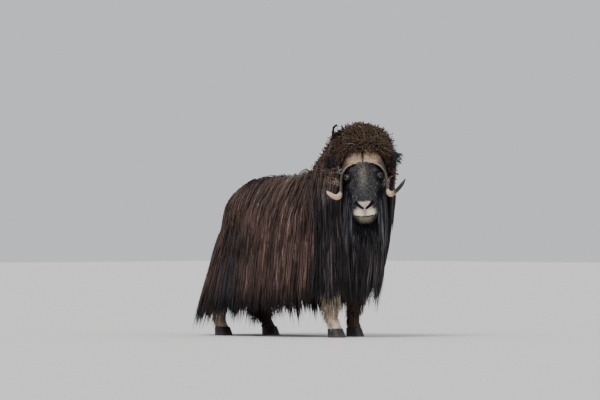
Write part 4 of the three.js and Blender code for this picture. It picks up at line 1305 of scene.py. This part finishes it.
def crown_wool(draw, count):
    """Curls between the bosses and the hump, which fall a little over the bosses."""
    count = int(count * FEWER)
    down = draw.uniform(-38, 52, count)
    angle = np.radians(draw.uniform(-112, 112, count))
    local, normal = face_surface(down, angle)
    turned = np.degrees(np.abs(angle))
    keep = (down < 34) | (turned > 62)
    down, angle, local, normal, turned = (a[keep] for a in (down, angle, local, normal, turned))
    count = down.size
    roots = from_head(local - normal * 2)
    normals = normal @ HEAD.T
    heading = draw.uniform(-math.pi, math.pi, count)
    flow = np.stack([np.sin(heading), 0.35 - 0.9 * np.cos(heading), 0 * heading], -1)
    lies = flat_to(unit(flow) @ HEAD.T, normals, 0.9)
    length = draw.uniform(55, 100, count) * MM
    rings = 5
    tau = steps_of(rings)[..., None]
    paths = free_paths(roots, normals, lies, length, draw.uniform(0.5, 1.0, count), 0 * length, rings)
    side = np.cross(normals, lies)
    curl = 0.009 * np.sin(TAU * (tau * 1.4 + draw.uniform(0, 1, count)[:, None, None]))
    paths = paths + side[:, None] * curl * tau
    tau = tau[..., 0]
    wide = 4.6 * MM * draw.uniform(0.7, 1.3, count)[:, None] * swollen(tau)
    tint = mix(body_tint(roots), OLIVE_BROWN, 0.3 + 0 * length)
    pale = (draw.uniform(0, 1, count) < 0.06) & (down > 24)
    tint = np.where(pale[:, None], SHED_WOOL * 0.5, tint * 0.9)
    shade = np.exp(draw.normal(0, 0.35, count))
    # painted shade: each curl is darker towards its root, deep in the wool, and lighter at its tip
    tint = tint[:, None] * shade[:, None, None] * (0.4 + 0.75 * tau)[..., None]
    outs = np.broadcast_to(normals[:, None], paths.shape)
    return paths, outs, wide, tint, head_unwrap(down, angle)


def beard(draw, clumps, members):
    """Long hair from the cheeks, jaw and throat, which hangs in front of the bib."""
    clumps = int(clumps * FEWER)
    down = draw.uniform(90, 440, clumps)
    angle = draw.uniform(92, 176, clumps) * draw.choice([-1, 1], clumps)
    clump = np.repeat(np.arange(clumps), members)
    count = clump.size
    down = np.clip(down[clump] + draw.normal(0, 9, count), 70, 446)
    angle = np.radians(angle[clump] + draw.normal(0, 5, count))
    local, normal = face_surface(down, angle)
    roots = from_head(local - normal * 2)
    normals = normal @ HEAD.T
    length = (300 - 170 * step(down, 260, 430)) * draw.uniform(0.7, 1.15, clumps)[clump]
    length = length * draw.uniform(0.8, 1.1, count) * MM
    flow = unit(from_head([0, 500, -200]) - from_head([0, 0, 0]))
    lies = unit(flow[None] * 0.22 - UP + draw.normal(0, 0.05, (count, 3)))
    rings = 5
    tau = steps_of(rings)
    rise = draw.uniform(0.05, 0.12, count)
    paths = free_paths(roots, normals, lies, length, rise, np.full(count, 0.3), rings)
    heart = paths.reshape(clumps, members, rings + 1, 3).mean(axis=1)[clump]
    paths = paths + (heart - paths) * (0.6 * tau**1.2)[..., None]
    wide = 4.0 * MM * draw.uniform(0.6, 1.3, count)[:, None] * swollen(tau)
    shade = np.exp(draw.normal(0, 0.25, clumps)[clump] + draw.normal(0, 0.3, count))
    streak = step(draw.uniform(0, 1, count), 0.5, 1.0)
    base = mix(BLUE_BLACK * 1.3, SLATE * 1.4, 0.8 * streak)
    # painted shade: each hair is darker towards its root, among the other hairs, and lighter at its tip
    tint = base[:, None] * shade[:, None, None] * (0.7 + 0.5 * tau)[..., None]
    outs = np.broadcast_to(normals[:, None], paths.shape)
    return paths, outs, wide, tint, head_unwrap(down, angle)


def leg_hair(draw, name, count):
    """Short hair that hangs down a leg, longer behind it."""
    foot = FEET[name]
    count = int(count * FEWER)
    up = draw.uniform(62, 560, count)
    angle = draw.uniform(-math.pi, math.pi, count)
    roots = leg_surface(foot, up, angle, -HAIR_ON_LEG - 1)
    turn = 0.01
    across = leg_surface(foot, up, angle + turn) - leg_surface(foot, up, angle - turn)
    normals = unit(np.cross(across, UP))
    facing = np.sum(normals * (roots - leg_surface(foot, up, angle, -40)), axis=-1, keepdims=True)
    normals = normals * np.sign(facing)
    behind = step(-np.cos(angle), -0.2, 0.8)
    length = 30 + 40 * step(up, 110, 240) + 32 * behind * step(up, 90, 200)
    if name == "hindleg_left":
        length = length + 120 * step(up, 150, 300)
    length = np.minimum(length * draw.uniform(0.7, 1.2, count), up - 18) * MM
    lies = unit(direction(draw.normal(0, 0.12, count), draw.normal(0, 0.12, count), -1))
    rise = 0.2 + draw.uniform(0, 0.14, count)
    rings = 3
    paths = free_paths(roots, normals, lies, length, rise, np.zeros(count), rings)
    tau = steps_of(rings)
    wide = 3.6 * MM * draw.uniform(0.7, 1.3, count)[:, None] * swollen(tau)
    shade = np.exp(draw.normal(0, 0.28, count))
    # painted shade: each hair is darker towards its root, among the other hairs, and lighter at its tip
    tint = leg_tint(name, roots)[:, None] * shade[:, None, None] * (0.75 + 0.4 * tau)[..., None]
    outs = np.broadcast_to(normals[:, None], paths.shape)
    unwrap = np.stack([np.mod(angle / TAU + 0.5, 1), up / 600], -1)
    return paths, outs, wide, tint, unwrap


def ear_hair(draw, side, count):
    """Wisps on the ear's back, edge and tip."""
    grid = ear_rings(side)
    i = draw.integers(2, grid.shape[0] - 1, count)
    j = draw.integers(0, grid.shape[1], count)
    roots = grid[i, j]
    normals = unit(roots - grid[i].mean(axis=1))
    outward = unit(from_head([side * 300, 60, -20]) - from_head([0, 60, -20]))
    lies = unit(outward + normals * 0.5 - UP * 0.4 + draw.normal(0, 0.2, (count, 3)))
    length = draw.uniform(18, 46, count) * MM
    rings = 4
    tau = steps_of(rings)
    droop = np.full(count, 0.3)
    paths = free_paths(roots, normals, lies, length, np.full(count, 0.15), droop, rings)
    wide = 2.8 * MM * swollen(tau) * np.ones((count, 1))
    shade = np.exp(draw.normal(0, 0.3, count))[:, None, None]
    tint = np.broadcast_to(BLACK, (count, rings + 1, 3)) * shade
    outs = np.broadcast_to(normals[:, None], paths.shape)
    unwrap = np.stack([j / grid.shape[1], i / grid.shape[0]], -1)
    return paths, outs, wide, tint, unwrap


def shed_wool(draw, count):
    """Pale wool caught in the hair beside the head and over the bosses."""
    spots = [
        # left, down, front, spread
        (-60, 26, 66, 26),
        (-148, 150, -10, 20),
        (-196, 170, -60, 26),
        (-170, 215, -20, 18),
        (36, 20, 70, 20),
        (150, 235, -20, 16),
    ]
    chosen = draw.integers(0, len(spots), count)
    table = np.array(spots, float)[chosen]
    local = table[:, :3] + draw.normal(0, 1, (count, 3)) * table[:, 3:] * np.array([0.6, 0.8, 0.3])
    roots = from_head(local)
    normals = np.broadcast_to(HEAD[:, 2], roots.shape)
    lies = unit(draw.normal(0, 0.7, (count, 3)) - UP)
    length = draw.uniform(20, 48, count) * MM
    rings = 4
    tau = steps_of(rings)
    paths = free_paths(roots, normals, lies, length, draw.uniform(0.1, 0.5, count), 0 * length, rings)
    wide = 2.6 * MM * swollen(tau) * np.ones((count, 1))
    shade = np.exp(draw.normal(-0.25, 0.35, count))[:, None, None]
    tint = np.broadcast_to(SHED_WOOL, (count, rings + 1, 3)) * shade
    outs = np.broadcast_to(normals[:, None], paths.shape)
    unwrap = head_unwrap(local[:, 1], np.arctan2(local[:, 0], local[:, 2] + 60))
    return paths, outs, wide, tint, unwrap


def build_under_wool():
    """The dense wool inside the skirt, which the long hair hangs over, painted near black as the shade
    inside the skirt.
    """
    stations = 420
    u = np.linspace(0, fall.round, stations, endpoint=False)
    ragged = 0.90 + 0.03 * np.sin(u * 61) + 0.025 * np.sin(u * 143 + 1) + 0.02 * np.sin(u * 311)
    profile = [
        # share of the fall as a part of the ragged edge, depth in metres
        (0.50, 0.034),
        (0.62, 0.018),
        (0.75, 0.016),
        (0.88, 0.018),
        (0.96, 0.022),
        (1.0, 0.028),
        (0.96, 0.036),
        (0.88, 0.042),
        (0.75, 0.044),
        (0.62, 0.046),
    ]
    rings = []
    for part, depth in profile:
        points, outs, _ = fall.at(u, part * ragged)
        rings.append(points - outs * depth)
    rings = np.stack(rings, axis=1)
    count, sides = rings.shape[:2]
    ring, k = np.meshgrid(np.arange(count), np.arange(sides), indexing="ij")
    near, far = ring * sides, (ring + 1) % count * sides
    after = (k + 1) % sides
    quads = np.stack([near + k, near + after, far + after, far + k], -1).reshape(-1, 4)
    points = rings.reshape(-1, 3)
    if volume(points, quads, np.zeros((0, 3), int)) < 0:
        quads = quads[:, ::-1]
    piece = mesh_object("under_wool", points, quads, [])
    # painted shade: the under-wool is mixed three quarters towards black
    paint(piece, mix(body_tint(points), BLACK, np.full(len(points), 0.75)))
    return finish_piece(piece, short_hair)


# Horns, hooves and eyes


def horn_rings(side):
    """A horn from its boss on the brow to its tip, with growth rings and cracks."""
    rings, sides = 260, 52
    table = HORN if side > 0 else np.vstack([HORN[:-2], WORN_TIP])
    last = len(table) - 1
    t = np.linspace(0, last, rings)
    rows = np.arange(len(table), dtype=float)
    columns = [smooth_line(rows, table[:, k])(t) for k in range(6)]
    centre = np.stack(columns[:3], -1)
    breadth, thick, turned = columns[3], columns[4], np.radians(columns[5])
    tangent = unit(np.gradient(centre, axis=0))
    out = np.stack([np.sin(turned), np.zeros_like(turned), np.cos(turned)], -1)
    out = unit(out - tangent * np.sum(out * tangent, axis=-1, keepdims=True))
    broad = np.cross(tangent, out)
    a = np.linspace(0, TAU, sides, endpoint=False)[None, :]
    t = t[:, None]
    boss = 1 - step(t, 1.5, 4.0)
    ridges = np.sin(a * 9 + 3 * np.sin(t * 2.1)) + 0.8 * np.sin(t * 9 + 2 * np.sin(a * 3))
    growth = 0.6 * np.sin(t * 16) * (1 - boss) * (1 - step(t, 7, 9))
    swell = 1 + (0.9 * boss * ridges + growth) / np.maximum(thick[:, None], 6) * 0.7
    round_end = np.sqrt(np.clip(t / 0.22, 0.25, 1))
    local = centre[:, None] + broad[:, None] * (breadth[:, None] * np.cos(a) * swell)[..., None]
    local = local + out[:, None] * (thick[:, None] * np.sin(a) * swell * round_end)[..., None]
    local[..., 0] = side * np.maximum(local[..., 0], 1.5)
    return from_head(local), horn_tint(t, a, side, last)


def horn_tint(t, a, side, last):
    """Tan boss, a dark stem with a pale edge painted on as highlight, a creamy hook and a dark tip."""
    grain = 0.5 + 0.5 * np.sin(a * 11 + 2.5 * np.sin(t * 3)) * np.sin(t * 7 + a)
    strand = 0.5 + 0.5 * np.sin(t * 31 + 1.5 * np.sin(a * 2)) * np.sin(t * 13 + 2 * np.cos(a))
    boss = mix(np.array([0.30, 0.20, 0.12]), np.array([0.10, 0.06, 0.035]), 0.8 * strand)
    hook = mix(np.array([0.62, 0.46, 0.32]), np.array([0.42, 0.26, 0.16]), 0.5 * grain)
    stem = mix(np.array([0.030, 0.021, 0.016]), np.array([0.10, 0.07, 0.05]), 0.5 * grain)
    # painted highlight: a pale line along one edge of the stem
    rim = step(-np.cos(a) + 0 * t, 0.9, 0.99) * (1 - step(t, 2.8, 4.2))
    stem = mix(stem, np.array([0.46, 0.37, 0.28]), 0.6 * rim)
    low_edge = step(-np.cos(a) + 0 * t, 0.4, 0.9) * (1 - step(t, 2.2, 3.2))
    tint = mix(boss, np.array([0.60, 0.48, 0.33]), 0.3 * low_edge)
    tint = mix(tint, stem, step(t, 2.0, 2.9) + 0 * a)
    tint = mix(tint, hook, step(t, 6.4, 7.3) + 0 * a)
    dark = (last - 3.1, last - 2.0) if side > 0 else (last - 0.7, last)
    tint = mix(tint, np.array([0.016, 0.010, 0.008]), step(t, *dark) + 0 * a)
    return mix(tint, BLACK, 0.35 * (1 - step(t, 0.0, 0.15)) + 0 * a)


def build_horn(side):
    rings, tint = horn_rings(side)
    name = "left" if side > 0 else "right"
    piece = loft(f"horn_{name}_worn", rings)
    paint(piece, tint.reshape(-1, 3))
    return finish_piece(piece, horn, [f"horn_{name}"])


def claw_rings(foot, inner):
    """Half of a cloven hoof: flat inside, round outside, its toe sloping."""
    heights = np.linspace(0, LEG_FOOT - 0.3, 14)[:, None]
    a = math.pi * np.linspace(0, 1, 41)[None, :]
    share = heights / LEG_FOOT
    scale = 1 - 0.16 * share**1.2 - 0.05 * (1 - step(heights, 0, 5))
    groove = 1 + 0.012 * np.sin(heights * 0.9)
    along = np.cos(a) * CLAW["length"] / 2 * scale * groove
    out = np.clip(np.sin(a), 0, 1) ** 0.8 * CLAW["width"] * scale * groove
    forward = foot["forward"] + along + 8 - 16 * share
    right = foot["right"] + inner * (CLAW["cleft"] + out)
    return place(forward, right, heights + 0 * a)


def build_hooves():
    for name, foot in FEET.items():
        outward = math.copysign(1, foot["right"])
        for word, inner in (("outer", outward), ("inner", -outward)):
            piece = loft(f"{name}_hoof_{word}", claw_rings(foot, inner))
            dust = 1 - step(points_of(piece)[:, 2], 0.0, 0.03)
            tint = mix(np.array([0.016, 0.013, 0.012]), np.array([0.08, 0.065, 0.05]), 0.5 * dust)
            paint(piece, tint)
            finish_piece(piece, hoof, [f"{name}_claw_{word}"])


def build_eye(side):
    """The ball with a clear bulge in front, a dark iris and a long level pupil."""
    name = "left" if side > 0 else "right"
    rings, sides = 60, 72
    polar = np.linspace(0.004, math.pi - 0.004, rings)[:, None]
    a = np.linspace(0, TAU, sides, endpoint=False)[None, :]
    radius = (EYE_RADIUS - 1) * (1 + 0.05 * (1 - step(polar, 0.35, 0.62)))
    piece = loft(f"eye_{name}_ball", on_ball(side, polar, a, radius))
    across, down = np.sin(polar) * np.cos(a), np.sin(polar) * np.sin(a)
    iris = np.array([0.010, 0.006, 0.004]) * (1 + 0.35 * np.sin(a * 37) + 0 * polar)[..., None]
    pupil = 1 - step(np.hypot(across / 0.42, down / 0.2), 0.9, 1.1)
    tint = mix(iris, np.array([0.001, 0.001, 0.001]), np.where(np.cos(polar) > 0, pupil, 0))
    tint = mix(tint, np.array([0.016, 0.009, 0.007]), step(polar + 0 * a, 0.60, 0.75))
    paint(piece, tint.reshape(-1, 3))
    return finish_piece(piece, eye, [f"eye_{name}"])


# Building

hair, fleece, short_hair = hair_material(), wool_material(), skin_material()
face_hair = face_hair_material()
horn, hoof, eye = horn_material(), hoof_material(), eye_material()

FLESH = ["shoulders", "barrel", "rump", "neck", "tail", "head", "ear_left", "ear_right", *FEET]
skin = finish_piece(build_skin(), short_hair, FLESH)
build_under_wool()

PIECE_TUFTS = 6400  # a piece of so many tufts stays under 200,000 triangles


def add_coat(name, hairs, material):
    """Splits the hairs over pieces that are small enough each."""
    order = np.argsort(hairs[0][:, 0, 1], kind="stable")
    parts = max(1, math.ceil(len(order) / PIECE_TUFTS))
    for i, chosen in enumerate(np.array_split(order, parts)):
        twist = np.random.default_rng(i).normal(0, 0.5, len(chosen))
        piece = tuft_piece(f"{name}_{i + 1}", *(a[chosen] for a in hairs), twist)
        finish_piece(piece, material)


def seeded(number):
    return np.random.default_rng(number)


skirt = long_coat(seeded(101), 2100, 9, (0.2, 0.56), (0.42, 0.68), (0.15, 0.7), 5.2 * MM, 5, 0.015)
add_coat("skirt", skirt, hair)
mantle = long_coat(seeded(102), 1750, 8, (0.0, 0.36), (0.2, 0.42), (0.5, 0.95), 4.6 * MM, 4, 0.014)
add_coat("mantle", mantle, hair)
add_coat("hump_wool", wool(seeded(103), 2600, 15, 0.055, 5.0 * MM, 4), fleece)
add_coat("spine_hair", spine_hair(seeded(108), 2100), hair)
add_coat("dome_curl", dome_curl(seeded(109), 22), fleece)
add_coat("crown_wool", crown_wool(seeded(106), 2300), fleece)
add_coat("face_hair", head_hair(seeded(104), 11000), face_hair)
add_coat("beard", beard(seeded(105), 190, 13), hair)
add_coat("shed_wool", shed_wool(seeded(107), 230), fleece)
for number, leg_name in enumerate(FEET):
    add_coat(f"{leg_name}_hair", leg_hair(seeded(110 + number), leg_name, 1600), hair)
for side in (1, -1):
    ear_name = "left" if side > 0 else "right"
    add_coat(f"ear_{ear_name}_hair", ear_hair(seeded(120 + side), side, 300), hair)
    build_horn(side)
    build_eye(side)
build_hooves()

# Stage, light and camera

VIEW_WIDTH = 4.0  # metres across the picture at the animal
LENS = 400.0
SENSOR = 36.0
IMAGE_CENTRE = (21.7, 906.7)  # millimetres to the right in the view and up, from the start


def build_floor():
    size = 40.0
    corners = np.array([[-size, -size, 0], [size, -size, 0], [size, size, 0], [-size, size, 0]])
    floor = mesh_object("floor", corners, [[0, 1, 2, 3]], [], smooth=False)
    floor.data.materials.append(floor_material())


def add_sun(name, azimuth, elevation, strength, softness, colour):
    data = bpy.data.lights.new(name, "SUN")
    data.energy = strength
    data.angle = math.radians(softness)
    data.color = colour
    sun = bpy.data.objects.new(name, data)
    a, e = math.radians(azimuth), math.radians(elevation)
    way = Vector((math.sin(a) * math.cos(e), -math.cos(a) * math.cos(e), math.sin(e)))
    sun.rotation_euler = way.to_track_quat("Z", "Y").to_euler()
    bpy.context.scene.collection.objects.link(sun)


def build_world():
    world = bpy.data.worlds.new("studio")
    world.use_nodes = True
    world.node_tree.nodes["Background"].inputs["Color"].default_value = (0.84, 0.86, 0.90, 1)
    world.node_tree.nodes["Background"].inputs["Strength"].default_value = 0.8
    bpy.context.scene.world = world


def build_camera():
    data = bpy.data.cameras.new("camera")
    data.lens = LENS
    data.sensor_width = SENSOR
    data.clip_end = 200.0
    camera = bpy.data.objects.new("camera", data)
    across, up = IMAGE_CENTRE
    half = math.sqrt(0.5)
    target = Vector(place(across * half, -across * half, up))
    distance = VIEW_WIDTH * LENS / SENSOR
    camera.location = target + Vector((-half, -half, 0)) * distance
    camera.rotation_euler = Vector((half, half, 0)).to_track_quat("-Z", "Y").to_euler()
    bpy.context.scene.collection.objects.link(camera)
    bpy.context.scene.camera = camera


build_floor()
build_world()
add_sun("key", -75, 52, 2.6, 25, (1.0, 0.97, 0.93))
add_sun("fill", 10, 30, 0.7, 60, (0.9, 0.95, 1.0))
build_camera()
